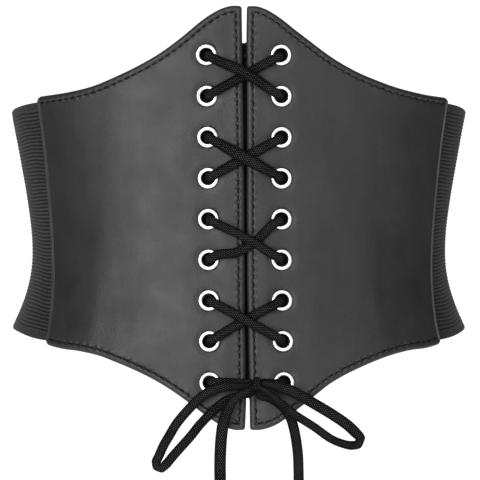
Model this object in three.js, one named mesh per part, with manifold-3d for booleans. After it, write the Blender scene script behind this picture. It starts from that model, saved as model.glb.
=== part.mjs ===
// A lace-up corset belt, in millimetres. +Z is up, the front faces -Y and +X is to the right.
// The origin is the middle of the narrowest section, at the waist.

import * as THREE from 'three';
import { mergeVertices } from 'three/addons/utils/BufferGeometryUtils.js';
import Module from 'manifold-3d';

const wasm = await Module();
wasm.setup();

// The body section: a rounded oval, measured over the elastic band's outer face
const WAIST_WIDTH = 218;
const WAIST_DEPTH = 164;
const SECTION_POWER = 2.4;
const TOP_WIDTH = 241;
const TOP_DEPTH = 170;
const TOP_WIDTH_EASE = 0.29;
const TOP_DEPTH_EASE = 0.39;
const HIP_WIDTH = 245;
const HIP_DEPTH = 170;
const HIP_WIDTH_EASE = 2;
const HIP_DEPTH_EASE = 0.9;

// The two front panels
const PANEL_THICKNESS = 2.2;
const FRONT_RISE = 122;
const FRONT_DROP = 87.3;
const SIDE_RISE = 79;
const SIDE_DROP = 46.5;
const PANEL_REACH = 112;
const FRONT_GAP = 2.7;
const FRONT_CORNER = 1.3;
const SIDE_CORNER = 3.5;
const EDGE_ROLL = 1.5;
const EDGE_THINNING = 0.45;

// The elastic band, a little lower than the panels' side edges
const BAND_THICKNESS = 1.5;
const BAND_TOP_INSET = 2.5;
const BAND_BOTTOM_INSET = 2;
const BAND_LAP = 12;
const BAND_RISE = SIDE_RISE - BAND_TOP_INSET;
const BAND_DROP = SIDE_DROP - BAND_BOTTOM_INSET;

// The lace
const LACE_WIDTH = 5.6;
const LACE_THICKNESS = 2.6;
const LACE_PLAY = 0.9;
const BOW_WIDTH = 5.1;
const TIP_LENGTH = 9;
const TIP_WIDTH = 4.2;
const TIP_TAPER = 0.6;
const KNOT_WIDTH = 4.8;
const KNOT_HEIGHT = 6.6;
const KNOT_DEPTH = 8.4;

// The eyelets, in rows between the panels' front corners
const EYELET_ROWS = 9;
const TOP_ROW_INSET = 24;
const LAST_ROW_INSET = 23;
const LEFT_EYELET_INSET = 17.8;
const RIGHT_EYELET_INSET = 17;
const EYELET_FLANGE = 1.95;
const EYELET_WALL = 0.5;
const EYELET_RISE = 1.1;
const EYELET_BACK = 0.8;
const EYELET_HOLE = LACE_WIDTH + LACE_PLAY;
const EYELET_WIDTH = EYELET_HOLE + 2 * EYELET_FLANGE;
const TOP_ROW = FRONT_RISE - TOP_ROW_INSET;
const LAST_ROW = LAST_ROW_INSET - FRONT_DROP;

// The strip behind the lacing, which closes the front gap and the eyelets' holes
const STRIP_THICKNESS = 1.2;
const STRIP_MARGIN = 2.4;
const STRIP_ABOVE_ROWS = 5.5;
const STRIP_BELOW_ROWS = 6.5;
const ROWS_APART = LEFT_EYELET_INSET + FRONT_GAP + RIGHT_EYELET_INSET;
const STRIP_WIDTH = ROWS_APART + EYELET_WIDTH + 2 * STRIP_MARGIN;

// The gap between neighbouring pieces
const CLEARANCE = 0.3;

// How finely the pieces are divided
const PANEL_ROWS = 8;
const BAND_COLUMNS = 24;
const BAND_ROWS = 11;
const STRIP_ROWS = 8;
const EYELET_SIDES = 12;
const SMALL_SIDES = 10;
const KNOT_RINGS = 8;
const LOOP_STEPS = 33;
const TAIL_STEPS = 11;

// The lace's section is flat over this share of its width.
const LACE_FLAT = 0.6;

// The lace's bend through an eyelet, in lace thicknesses. The first five are distances from the
// middle of the hole, from the front to the back, and the last two are how far the lace stands
// out at the hole's two ends.
const BEND = {
  onFlange: 1.25,
  atFront: 0.45,
  inHole: 0.2,
  atBack: 0.38,
  behind: 1.2,
  outAtFront: 0.32,
  outAtBack: 0.27,
};

// Where the level lace has its points, from the knot's side towards an eyelet of the last row.
const KNOT_SHARES = [0, 0.35];

// The panels' top edges, from the front edge to the side edge. across is the share of the way,
// left and right are the shares of the height from the side corner up to the front.
const TOP_OUTLINE = [
  { across: 0, left: 1, right: 1 },
  { across: 0.05, left: 1, right: 0.994 },
  { across: 0.1, left: 0.96, right: 0.944 },
  { across: 0.16, left: 0.872, right: 0.844 },
  { across: 0.2, left: 0.795, right: 0.762 },
  { across: 0.27, left: 0.648, right: 0.627 },
  { across: 0.35, left: 0.497, right: 0.474 },
  { across: 0.42, left: 0.388, right: 0.359 },
  { across: 0.5, left: 0.284, right: 0.255 },
  { across: 0.58, left: 0.195, right: 0.176 },
  { across: 0.67, left: 0.109, right: 0.104 },
  { across: 0.76, left: 0.057, right: 0.055 },
  { across: 0.86, left: 0.024, right: 0.02 },
  { across: 1, left: 0, right: 0 },
];

// The panels' bottom edges, the same way, with the shares going down to the front
const BOTTOM_OUTLINE = [
  { across: 0, left: 1, right: 1 },
  { across: 0.05, left: 0.998, right: 0.999 },
  { across: 0.1, left: 0.962, right: 0.968 },
  { across: 0.15, left: 0.893, right: 0.905 },
  { across: 0.2, left: 0.805, right: 0.812 },
  { across: 0.3, left: 0.616, right: 0.62 },
  { across: 0.38, left: 0.478, right: 0.465 },
  { across: 0.46, left: 0.364, right: 0.35 },
  { across: 0.54, left: 0.27, right: 0.26 },
  { across: 0.62, left: 0.19, right: 0.182 },
  { across: 0.7, left: 0.12, right: 0.12 },
  { across: 0.8, left: 0.071, right: 0.068 },
  { across: 0.9, left: 0.046, right: 0.047 },
  { across: 1, left: 0, right: 0 },
];

// The front edges of the two panels, from the lowest point, height -1, to the highest, height 1.
// left and right are shares of FRONT_GAP, from the middle of the front.
const FRONT_EDGES = [
  { height: -1, left: -0.33, right: 0.6 },
  { height: -0.9, left: -0.14, right: 0.57 },
  { height: -0.82, left: -0.06, right: 0.54 },
  { height: -0.7, left: -0.12, right: 0.5 },
  { height: -0.55, left: -0.13, right: 0.4 },
  { height: -0.25, left: -0.2, right: 0.25 },
  { height: 0.2, left: -0.3, right: 0.16 },
  { height: 0.6, left: -0.55, right: 0.12 },
  { height: 0.85, left: -0.74, right: 0 },
  { height: 1, left: -0.87, right: 0.08 },
];

// A panel's side edge, from the lower corner, height -1, to the upper, height 1.
// reach is the share of PANEL_REACH, round the body from the middle of the front.
const SIDE_EDGE = [
  { height: -1, reach: 0.94 },
  { height: -0.8, reach: 0.934 },
  { height: -0.43, reach: 0.942 },
  { height: 0, reach: 0.957 },
  { height: 0.3, reach: 0.967 },
  { height: 0.65, reach: 0.978 },
  { height: 1, reach: 1 },
];

// The band's edges from the panel, way 0, to the middle of the back, way 1.
// rise and drop are shares of BAND_RISE and BAND_DROP.
const BAND_EDGES = [
  { way: 0, rise: 1, drop: 1 },
  { way: 0.07, rise: 0.995, drop: 0.985 },
  { way: 0.2, rise: 0.97, drop: 0.9 },
  { way: 0.5, rise: 0.93, drop: 0.83 },
  { way: 1, rise: 0.9, drop: 0.8 },
];

// The bow's strands, chosen by hand. across is the distance from the middle of the front,
// height is from the waist and lift is from the panels' outer face.
const LEFT_LOOP = [
  { across: 1.9, height: -66, lift: 4.5 },
  { across: -6.5, height: -66.4, lift: 4.8 },
  { across: -11, height: -66.7, lift: 5.7 },
  { across: -15, height: -67.5, lift: 6 },
  { across: -18.2, height: -69, lift: 5.8 },
  { across: -21.4, height: -71, lift: 5.2 },
  { across: -25.5, height: -74.7, lift: 4.4 },
  { across: -30.2, height: -79.7, lift: 3.7 },
  { across: -34.3, height: -84.7, lift: 3.2 },
  { across: -37.8, height: -89.7, lift: 3 },
  { across: -40.6, height: -94.6, lift: 2.8 },
  { across: -42.7, height: -99.4, lift: 2.6 },
  { across: -44.1, height: -102.6, lift: 2.5 },
  { across: -43.7, height: -104.8, lift: 2.4 },
  { across: -41.8, height: -105.6, lift: 2.3 },
  { across: -39.6, height: -104, lift: 2.2 },
  { across: -36.1, height: -99.8, lift: 2 },
  { across: -31.9, height: -95, lift: 1.9 },
  { across: -27.5, height: -90, lift: 1.8 },
  { across: -23.3, height: -85.3, lift: 1.8 },
  { across: -19, height: -80.7, lift: 1.7 },
  { across: -14.7, height: -76.5, lift: 1.6 },
  { across: -10.1, height: -73.2, lift: 1.6 },
  { across: -4.6, height: -71, lift: 1.6 },
  { across: 1.4, height: -70.2, lift: 1.6 },
];
const RIGHT_LOOP = [
  { across: 7.5, height: -65.2, lift: 4.5 },
  { across: 11.5, height: -65.7, lift: 5.5 },
  { across: 16.1, height: -66.8, lift: 6 },
  { across: 20.4, height: -68.4, lift: 5.7 },
  { across: 24.5, height: -70.4, lift: 5 },
  { across: 32.6, height: -75.1, lift: 4 },
  { across: 40.8, height: -80, lift: 3.4 },
  { across: 48.4, height: -85.2, lift: 3 },
  { across: 53, height: -88.5, lift: 2.8 },
  { across: 55.4, height: -91.5, lift: 2.6 },
  { across: 54.4, height: -94.2, lift: 2.5 },
  { across: 51.2, height: -94.9, lift: 2.5 },
  { across: 46.8, height: -94, lift: 2.6 },
  { across: 40.8, height: -91.4, lift: 3 },
  { across: 32.6, height: -86.4, lift: 3.8 },
  { across: 24.4, height: -81.2, lift: 4.5 },
  { across: 19.8, height: -77.8, lift: 4.6 },
  { across: 15.8, height: -74.4, lift: 5 },
  { across: 12.2, height: -71.3, lift: 6.3 },
  { across: 8.4, height: -68.6, lift: 7.4 },
];
const LEFT_TAIL = [
  { across: 0.8, height: -68.6, lift: 7.4 },
  { across: -3.2, height: -70.6, lift: 7.5 },
  { across: -6.9, height: -73.8, lift: 7 },
  { across: -9.2, height: -77.4, lift: 5.8 },
  { across: -10.9, height: -81.7, lift: 4.8 },
  { across: -12, height: -86.4, lift: 4.6 },
  { across: -12.7, height: -91.5, lift: 4.4 },
  { across: -13.1, height: -98.7, lift: 3.8 },
  { across: -13.2, height: -107, lift: 3.2 },
  { across: -13, height: -116, lift: 2.8 },
];
const RIGHT_TAIL = [
  { across: 6.4, height: -71.2, lift: 1.7 },
  { across: 10.8, height: -72.4, lift: 1.6 },
  { across: 15, height: -74.7, lift: 1.6 },
  { across: 18.7, height: -77.8, lift: 1.6 },
  { across: 21.3, height: -81.7, lift: 1.6 },
  { across: 22.9, height: -86.6, lift: 1.6 },
  { across: 24.1, height: -92.4, lift: 1.6 },
  { across: 24.9, height: -99, lift: 1.7 },
  { across: 25.2, height: -107, lift: 1.9 },
  { across: 25.3, height: -116, lift: 2.1 },
];
const KNOT = { across: 4.7, height: -65.1, lift: 4.5 };

// Layers, as distances out from the body section
const PANEL_INNER = CLEARANCE;
const PANEL_OUTER = PANEL_INNER + PANEL_THICKNESS;
const FLANGE_FOOT = PANEL_OUTER + CLEARANCE;
const FLANGE_TOP = FLANGE_FOOT + EYELET_RISE;
const BACK_FLANGE_TOP = PANEL_INNER - CLEARANCE;
const BACK_FLANGE_FOOT = BACK_FLANGE_TOP - EYELET_BACK;
const LACE_ROOM = LACE_THICKNESS / 2 + CLEARANCE;
const LACE_ON_PANEL = PANEL_OUTER + LACE_ROOM;
const LACE_ON_FLANGE = FLANGE_TOP + LACE_ROOM;
const LACE_ON_LACE = LACE_ON_PANEL + LACE_THICKNESS + CLEARANCE;
const LACE_BEHIND = BACK_FLANGE_FOOT - LACE_ROOM;
const STRIP_OUTER = LACE_BEHIND - LACE_ROOM;
const STRIP_INNER = STRIP_OUTER - STRIP_THICKNESS;

const leather = { color: 0x2e2e30, roughness: 0.42, metalness: 0 };
const elastic = { color: 0x1d1d1e, roughness: 0.85, metalness: 0 };
const webbing = { color: 0x101011, roughness: 0.9, metalness: 0 };
const nickel = { color: 0xd8d8d8, roughness: 0.2, metalness: 1 };
const braid = { color: 0x121213, roughness: 0.8, metalness: 0 };

// Reads a column of a table at a place between its rows, on a smooth curve through them.
function follow(table, key, column, place) {
  const last = table.length - 1;
  const at = THREE.MathUtils.clamp(place, table[0][key], table[last][key]);
  let i = 0;
  while (i < last - 1 && table[i + 1][key] < at) i += 1;
  const slope = (n) => {
    const before = table[Math.max(n - 1, 0)];
    const after = table[Math.min(n + 1, last)];
    return (after[column] - before[column]) / (after[key] - before[key]);
  };
  const span = table[i + 1][key] - table[i][key];
  const t = (at - table[i][key]) / span;
  const rise = table[i + 1][column] - table[i][column];
  const startBend = slope(i) * span - rise;
  const endBend = rise - slope(i + 1) * span;
  return table[i][column] + rise * t + t * (1 - t) * (startBend * (1 - t) + endBend * t);
}

// How far the section has opened at a share of the way from the waist to the band's edge.
function opening(share, ease) {
  return (Math.hypot(share, ease) - ease) / (Math.hypot(1, ease) - ease);
}

function halfWidth(height) {
  const [end, share, ease] = height > 0
    ? [TOP_WIDTH, height / BAND_RISE, TOP_WIDTH_EASE]
    : [HIP_WIDTH, -height / BAND_DROP, HIP_WIDTH_EASE];
  return (WAIST_WIDTH + (end - WAIST_WIDTH) * opening(share, ease)) / 2;
}

function halfDepth(height) {
  const [end, share, ease] = height > 0
    ? [TOP_DEPTH, height / BAND_RISE, TOP_DEPTH_EASE]
    : [HIP_DEPTH, -height / BAND_DROP, HIP_DEPTH_EASE];
  return (WAIST_DEPTH + (end - WAIST_DEPTH) * opening(share, ease)) / 2;
}

// A quarter of the section at a height, from the middle of the front to the side, as points
// with the length of the way to each. Below and above the panels it stays as at their ends.
const QUARTER_STEPS = 160;
const quarters = new Map();
function quarter(height) {
  const level = THREE.MathUtils.clamp(height, -FRONT_DROP, FRONT_RISE);
  if (quarters.has(level)) return quarters.get(level);
  const width = halfWidth(level);
  const depth = halfDepth(level);
  const points = [];
  for (let i = 0; i <= QUARTER_STEPS; i += 1) {
    const turn = (Math.PI / 2) * (i / QUARTER_STEPS);
    const across = Math.sin(turn) / width;
    const along = Math.cos(turn) / depth;
    const radius = (across ** SECTION_POWER + along ** SECTION_POWER) ** (-1 / SECTION_POWER);
    const point = { x: radius * Math.sin(turn), y: radius * Math.cos(turn), way: 0 };
    const before = points[i - 1];
    if (before) point.way = before.way + Math.hypot(point.x - before.x, point.y - before.y);
    points.push(point);
  }
  quarters.set(level, points);
  return points;
}

function girth(height) {
  return 4 * quarter(height)[QUARTER_STEPS].way;
}

// The point of the body section at a height, a way round from the middle of the front.
function bodyPoint(around, height) {
  const points = quarter(height);
  const whole = 4 * points[QUARTER_STEPS].way;
  const turned = THREE.MathUtils.euclideanModulo(around, whole);
  const onLeft = turned > whole / 2;
  const fromFront = onLeft ? whole - turned : turned;
  const atBack = fromFront > whole / 4;
  const way = atBack ? whole / 2 - fromFront : fromFront;
  let low = 0;
  let high = QUARTER_STEPS;
  while (high - low > 1) {
    const middle = (low + high) >> 1;
    if (points[middle].way <= way) low = middle;
    else high = middle;
  }
  const share = (way - points[low].way) / (points[high].way - points[low].way);
  const x = THREE.MathUtils.lerp(points[low].x, points[high].x, share);
  const y = THREE.MathUtils.lerp(points[low].y, points[high].y, share);
  return new THREE.Vector3(onLeft ? -x : x, atBack ? y : -y, height);
}

// The directions along, up and out of the body at a place on it.
const PROBE = 1;
function bodyAxes(around, height) {
  const along = bodyPoint(around + PROBE, height).sub(bodyPoint(around - PROBE, height)).normalize();
  const slope = bodyPoint(around, height + PROBE).sub(bodyPoint(around, height - PROBE));
  const out = new THREE.Vector3().crossVectors(along, slope).normalize();
  const up = new THREE.Vector3().crossVectors(out, along);
  return { along, up, out };
}

function onBody(around, height, distance) {
  return bodyPoint(around, height).addScaledVector(bodyAxes(around, height).out, distance);
}

// Edges of the panels and the band, as ways round the body and heights.
function frontEdge(side, height) {
  const share = height > 0 ? height / FRONT_RISE : height / FRONT_DROP;
  return FRONT_GAP * follow(FRONT_EDGES, 'height', side, share);
}

function seam(height) {
  return (frontEdge('left', height) + frontEdge('right', height)) / 2;
}

function sideEdge(height) {
  const share = height > 0 ? height / SIDE_RISE : height / SIDE_DROP;
  return PANEL_REACH * follow(SIDE_EDGE, 'height', 'reach', share);
}

// How much a round corner takes off an edge's height, near the end of the edge.
function cornerCut(distance, radius) {
  if (distance >= radius) return 0;
  return radius - Math.sqrt(radius ** 2 - (radius - distance) ** 2);
}

function panelHeight(side, across, up) {
  const fromFront = across * PANEL_REACH;
  const fromSide = (1 - across) * PANEL_REACH;
  const cut = cornerCut(fromFront, FRONT_CORNER) + cornerCut(fromSide, SIDE_CORNER);
  const rise = follow(TOP_OUTLINE, 'across', side, across);
  const drop = follow(BOTTOM_OUTLINE, 'across', side, across);
  const top = THREE.MathUtils.lerp(SIDE_RISE, FRONT_RISE, rise) - cut;
  const bottom = -THREE.MathUtils.lerp(SIDE_DROP, FRONT_DROP, drop) + cut;
  return THREE.MathUtils.lerp(bottom, top, up);
}

// Shares of a length: steps at given distances from both ends, and even steps between them.
function spread(length, nearEnds, evenSteps) {
  const shares = nearEnds.map((step) => step / length);
  const ends = nearEnds.map((step) => 1 - step / length).reverse();
  const start = shares[shares.length - 1];
  for (let i = 1; i < evenSteps; i += 1) {
    shares.push(THREE.MathUtils.lerp(start, ends[0], i / evenSteps));
  }
  return shares.concat(ends);
}

// A closed wall with an outer and an inner face. place(column, row, face) gives each corner,
// with face 1 outside and 0 inside.
function wall(columns, rows, place) {
  const positions = [];
  const width = columns.length;
  const height = rows.length;
  for (const face of [1, 0]) {
    for (const row of rows) {
      for (const column of columns) positions.push(...place(column, row, face).toArray());
    }
  }
  const corner = (face, row, column) => (1 - face) * width * height + row * width + column;
  const triangles = [];
  const quad = (a, b, c, d) => triangles.push(a, b, c, a, c, d);
  for (let row = 0; row < height - 1; row += 1) {
    for (let column = 0; column < width - 1; column += 1) {
      const around = [[row, column], [row, column + 1], [row + 1, column + 1], [row + 1, column]];
      quad(...around.map((at) => corner(1, ...at)));
      quad(...around.reverse().map((at) => corner(0, ...at)));
    }
  }
  for (let column = 0; column < width - 1; column += 1) {
    const next = column + 1;
    const top = height - 1;
    quad(corner(0, 0, column), corner(0, 0, next), corner(1, 0, next), corner(1, 0, column));
    quad(corner(1, top, column), corner(1, top, next), corner(0, top, next), corner(0, top, column));
  }
  for (let row = 0; row < height - 1; row += 1) {
    const next = row + 1;
    const end = width - 1;
    quad(corner(0, next, 0), corner(0, row, 0), corner(1, row, 0), corner(1, next, 0));
    quad(corner(1, next, end), corner(1, row, end), corner(0, row, end), corner(0, next, end));
  }
  const geometry = new THREE.BufferGeometry();
  geometry.setAttribute('position', new THREE.Float32BufferAttribute(positions, 3));
  geometry.setIndex(triangles);
  return geometry;
}

function toSolid(geometry, matrix) {
  const bare = geometry.clone().applyMatrix4(matrix);
  bare.deleteAttribute('normal');
  bare.deleteAttribute('uv');
  const placed = mergeVertices(bare);
  return new wasm.Manifold(new wasm.Mesh({
    numProp: 3,
    vertProperties: Float32Array.from(placed.attributes.position.array),
    triVerts: Uint32Array.from(placed.index.array),
  }));
}

function toGeometry(solid) {
  const mesh = solid.getMesh();
  const geometry = new THREE.BufferGeometry();
  geometry.setAttribute('position', new THREE.Float32BufferAttribute(mesh.vertProperties, 3));
  geometry.setIndex(Array.from(mesh.triVerts));
  return geometry;
}

function named(name, geometry, finish) {
  geometry.computeVertexNormals();
  const mesh = new THREE.Mesh(geometry, new THREE.MeshStandardMaterial(finish));
  mesh.name = name;
  return mesh;
}

// Where an eyelet sits: its way round, its height, and the matrix that puts its axis outwards.
function eyeletPlace(side, row) {
  const height = THREE.MathUtils.lerp(TOP_ROW, LAST_ROW, (row - 1) / (EYELET_ROWS - 1));
  const inset = side === 'left' ? -LEFT_EYELET_INSET : RIGHT_EYELET_INSET;
  const around = frontEdge(side, height) + inset;
  const { along, up, out } = bodyAxes(around, height);
  const matrix = new THREE.Matrix4().makeBasis(up, out, along);
  matrix.setPosition(bodyPoint(around, height));
  return { around, height, matrix };
}

function eyeletRows() {
  return Array.from({ length: EYELET_ROWS }, (unused, i) => i + 1);
}

function panel(side) {
  const rim = [EDGE_ROLL / 3, EDGE_ROLL];
  const nearSide = [...rim, BAND_LAP / 2, BAND_LAP];
  const columns = TOP_OUTLINE.map((place) => place.across)
    .concat(rim.map((step) => step / PANEL_REACH))
    .concat(nearSide.map((step) => 1 - step / PANEL_REACH))
    .sort((a, b) => a - b);
  const rows = spread(FRONT_RISE + FRONT_DROP, [0, EDGE_ROLL], PANEL_ROWS);
  const ordered = side === 'left' ? columns.slice().reverse() : columns;
  const geometry = wall(ordered, rows, (across, up, face) => {
    const height = panelHeight(side, across, up);
    const reach = side === 'left' ? -sideEdge(height) : sideEdge(height);
    const around = THREE.MathUtils.lerp(frontEdge(side, height), reach, across);
    const onRim = across === 0 || across === 1 || up === 0 || up === 1;
    const roll = onRim ? EDGE_THINNING : 0;
    return onBody(around, height, face ? PANEL_OUTER - roll : PANEL_INNER + roll);
  });
  const holeRadius = EYELET_HOLE / 2 + EYELET_WALL + CLEARANCE;
  const cutterLength = 4 * PANEL_THICKNESS;
  const cutter = new THREE.CylinderGeometry(holeRadius, holeRadius, cutterLength, SMALL_SIDES);
  let solid = toSolid(geometry, new THREE.Matrix4());
  for (const row of eyeletRows()) {
    solid = solid.subtract(toSolid(cutter, eyeletPlace(side, row).matrix));
  }
  return named(`${side}_panel`, toGeometry(solid), leather);
}

function elasticBand() {
  const lap = [0, BAND_LAP / 2, BAND_LAP];
  const columns = spread(girth(0) - 2 * PANEL_REACH, lap, BAND_COLUMNS);
  const rows = spread(BAND_RISE + BAND_DROP, [0], BAND_ROWS);
  const geometry = wall(columns, rows, (way, up, face) => {
    const fromPanel = 1 - Math.abs(1 - 2 * way);
    const top = BAND_RISE * follow(BAND_EDGES, 'way', 'rise', fromPanel);
    const bottom = -BAND_DROP * follow(BAND_EDGES, 'way', 'drop', fromPanel);
    const height = THREE.MathUtils.lerp(bottom, top, up);
    const start = sideEdge(height) - BAND_LAP;
    const around = THREE.MathUtils.lerp(start, girth(height) - start, way);
    return onBody(around, height, face ? 0 : -BAND_THICKNESS);
  });
  return named('elastic_band', geometry, elastic);
}

function gapStrip() {
  const columns = [-1, -0.5, 0, 0.5, 1];
  const rows = spread(TOP_ROW, [0], STRIP_ROWS);
  const top = TOP_ROW + STRIP_ABOVE_ROWS;
  const bottom = LAST_ROW - STRIP_BELOW_ROWS;
  const geometry = wall(columns, rows, (column, up, face) => {
    const height = THREE.MathUtils.lerp(bottom, top, up);
    const around = seam(height) + (column * STRIP_WIDTH) / 2;
    return onBody(around, height, face ? STRIP_OUTER : STRIP_INNER);
  });
  return named('gap_strip', geometry, webbing);
}

// A ring with a domed flange outside the panel, a barrel through it and a flange rolled out
// behind it.
function eyeletGeometry() {
  const hole = EYELET_HOLE / 2;
  const rim = EYELET_WIDTH / 2;
  const barrel = hole + EYELET_WALL;
  const crown = (hole + rim) / 2;
  const profile = [
    [hole, BACK_FLANGE_FOOT],
    [rim - EYELET_WALL, BACK_FLANGE_FOOT],
    [barrel, BACK_FLANGE_TOP],
    [barrel, FLANGE_FOOT],
    [rim, FLANGE_FOOT],
    [crown, FLANGE_TOP],
    [hole, FLANGE_FOOT + EYELET_RISE / 2],
    [hole, BACK_FLANGE_FOOT],
  ];
  return new THREE.LatheGeometry(profile.map(([x, y]) => new THREE.Vector2(x, y)), EYELET_SIDES);
}

function eyelet(side, row, geometry) {
  const mesh = named(`${side}_eyelet_${row}`, geometry, nickel);
  mesh.applyMatrix4(eyeletPlace(side, row).matrix);
  return mesh;
}

// A flat lace's path. Each point has the direction of the lace's width there, and the steps
// along it are as close as its points are.
class LacePath extends THREE.CatmullRomCurve3 {
  constructor(points, widths) {
    super(points, false, 'centripetal');
    this.widths = widths;
  }

  getUtoTmapping(share) {
    return share;
  }

  widthAt(t) {
    const place = t * (this.widths.length - 1);
    const i = Math.min(Math.floor(place), this.widths.length - 2);
    return this.widths[i].clone().lerp(this.widths[i + 1], place - i);
  }

  computeFrenetFrames(steps) {
    const frames = { tangents: [], normals: [], binormals: [] };
    for (let i = 0; i <= steps; i += 1) {
      const tangent = this.getTangentAt(i / steps);
      const width = this.widthAt(i / steps);
      width.addScaledVector(tangent, -width.dot(tangent)).normalize();
      frames.tangents.push(tangent);
      frames.normals.push(width);
      frames.binormals.push(new THREE.Vector3().crossVectors(tangent, width));
    }
    return frames;
  }
}

// The lace's section: flat faces and round sides.
function laceSection(width) {
  const side = width / 2;
  const face = LACE_THICKNESS / 2;
  const flat = side * LACE_FLAT;
  const corners = [[side, -face / 2], [side, face / 2], [flat, face], [-flat, face],
    [-side, face / 2], [-side, -face / 2], [-flat, -face], [flat, -face]];
  return new THREE.Shape(corners.map(([x, y]) => new THREE.Vector2(x, y)));
}

function lace(name, path, width, steps) {
  const geometry = new THREE.ExtrudeGeometry(laceSection(width), { extrudePath: path, steps });
  return named(name, geometry, braid);
}

// A strand of the bow that lies flat to the belt along its route.
function bowStrand(name, route, width, steps) {
  const points = route.map((at) => onBody(at.across, at.height, PANEL_OUTER + at.lift));
  const widths = route.map((at, i) => {
    const before = points[Math.max(i - 1, 0)];
    const after = points[Math.min(i + 1, route.length - 1)];
    const { out } = bodyAxes(at.across, at.height);
    return new THREE.Vector3().crossVectors(out, after.clone().sub(before)).normalize();
  });
  return lace(name, new LacePath(points, widths), width, steps);
}

// The lace's way through the eyelets, as a list of the eyelets it passes and the link that
// follows each one. It starts at the bow, climbs, crosses over at the first row and comes down.
function lacingOrder() {
  const other = { left: 'right', right: 'left' };
  const crossesAbove = (row) => (row + EYELET_ROWS) % 2 === 1;
  const stops = [];
  let side = 'left';
  for (let row = EYELET_ROWS; row > 1; row -= 1) {
    const outside = crossesAbove(row);
    stops.push({ side, row, outside });
    if (outside) side = other[side];
  }
  stops.push({ side, row: 1, outside: EYELET_ROWS % 2 === 0 });
  side = other[side];
  for (let row = 1; row < EYELET_ROWS; row += 1) {
    const outside = crossesAbove(row + 1);
    stops.push({ side, row, outside });
    if (outside) side = other[side];
  }
  stops.push({ side, row: EYELET_ROWS, outside: true });
  return stops;
}

function lacing() {
  const points = [];
  const widths = [];
  const add = (around, height, distance, width) => {
    const { along, up } = bodyAxes(around, height);
    points.push(onBody(around, height, distance));
    widths.push(along.multiplyScalar(width[0]).addScaledVector(up, width[1]));
  };
  const stops = lacingOrder().map((stop) => ({ ...stop, ...eyeletPlace(stop.side, stop.row) }));
  const knot = { around: KNOT.across, height: KNOT.height };

  // Unit direction from one place on the body to another
  const towards = (from, to) => {
    const step = [to.around - from.around, to.height - from.height];
    const length = Math.hypot(...step);
    return step.map((part) => part / length);
  };
  const leftOf = ([x, y]) => [-y, x];
  const minus = ([x, y]) => [-x, -y];

  // The link that leaves a stop for the next one, with its level halfway
  const link = (from, to) => {
    const outside = from === knot || from.outside;
    const way = towards(from, to);
    const fallsRight = (to.around - from.around) * (to.height - from.height) < 0;
    const isBar = from.row === to.row && !outside;
    const crosses = outside && from !== knot && to !== knot;
    const level = crosses && fallsRight ? LACE_ON_LACE : LACE_ON_PANEL;
    const width = isBar ? minus(leftOf(way)) : leftOf(way);
    return { outside, way, width, level: outside ? level : LACE_BEHIND };
  };

  // Through one eyelet, from the side where the lace arrives to the side where it leaves
  const through = (stop, arriving, leaving) => {
    const front = arriving.outside ? { way: minus(arriving.way), width: arriving.width } : leaving;
    const back = arriving.outside ? leaving : { way: minus(arriving.way), width: arriving.width };
    const frontEnd = FLANGE_TOP + LACE_THICKNESS * BEND.outAtFront;
    const backEnd = BACK_FLANGE_FOOT - LACE_THICKNESS * BEND.outAtBack;
    const steps = [
      { bend: EYELET_WIDTH / 2 / LACE_THICKNESS, on: front, distance: LACE_ON_FLANGE },
      { bend: BEND.onFlange, on: front, distance: LACE_ON_FLANGE },
      { bend: BEND.atFront, on: front, distance: frontEnd },
      { bend: BEND.inHole, on: front, distance: (PANEL_INNER + PANEL_OUTER) / 2 },
      { bend: BEND.atBack, on: back, distance: backEnd },
      { bend: BEND.behind, on: back, distance: LACE_BEHIND },
    ];
    if (!arriving.outside) steps.reverse();
    for (const { bend, on, distance } of steps) {
      const away = bend * LACE_THICKNESS;
      const around = stop.around + on.way[0] * away;
      add(around, stop.height + on.way[1] * away, distance, on.width);
    }
  };

  // The level stretch between the knot's side and an eyelet of the last row
  const knotEnd = (stop, shares, width) => {
    const side = KNOT.across + (Math.sign(stop.around) * KNOT_WIDTH) / 2;
    for (const share of shares) {
      add(THREE.MathUtils.lerp(side, stop.around, share), stop.height, LACE_ON_PANEL, width);
    }
  };

  let arriving = link(knot, stops[0]);
  knotEnd(stops[0], KNOT_SHARES, arriving.width);
  stops.forEach((stop, i) => {
    const next = stops[i + 1] ?? knot;
    const leaving = link(stop, next);
    through(stop, arriving, leaving);
    if (next !== knot && leaving.outside) {
      const length = Math.hypot(next.around - stop.around, next.height - stop.height);
      for (const share of [0.5 - LACE_WIDTH / length, 0.5, 0.5 + LACE_WIDTH / length]) {
        const around = THREE.MathUtils.lerp(stop.around, next.around, share);
        const height = THREE.MathUtils.lerp(stop.height, next.height, share);
        add(around, height, leaving.level, leaving.width);
      }
    }
    arriving = leaving;
  });
  knotEnd(stops[stops.length - 1], KNOT_SHARES.toReversed(), arriving.width);
  return lace('lacing', new LacePath(points, widths), LACE_WIDTH, points.length - 1);
}

function knot() {
  const { along, up, out } = bodyAxes(KNOT.across, KNOT.height);
  const mesh = named('knot', new THREE.SphereGeometry(1, SMALL_SIDES, KNOT_RINGS), braid);
  mesh.applyMatrix4(new THREE.Matrix4()
    .makeBasis(along, up, out)
    .scale(new THREE.Vector3(KNOT_WIDTH / 2, KNOT_HEIGHT / 2, KNOT_DEPTH / 2))
    .setPosition(onBody(KNOT.across, KNOT.height, PANEL_OUTER + KNOT.lift)));
  return mesh;
}

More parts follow.
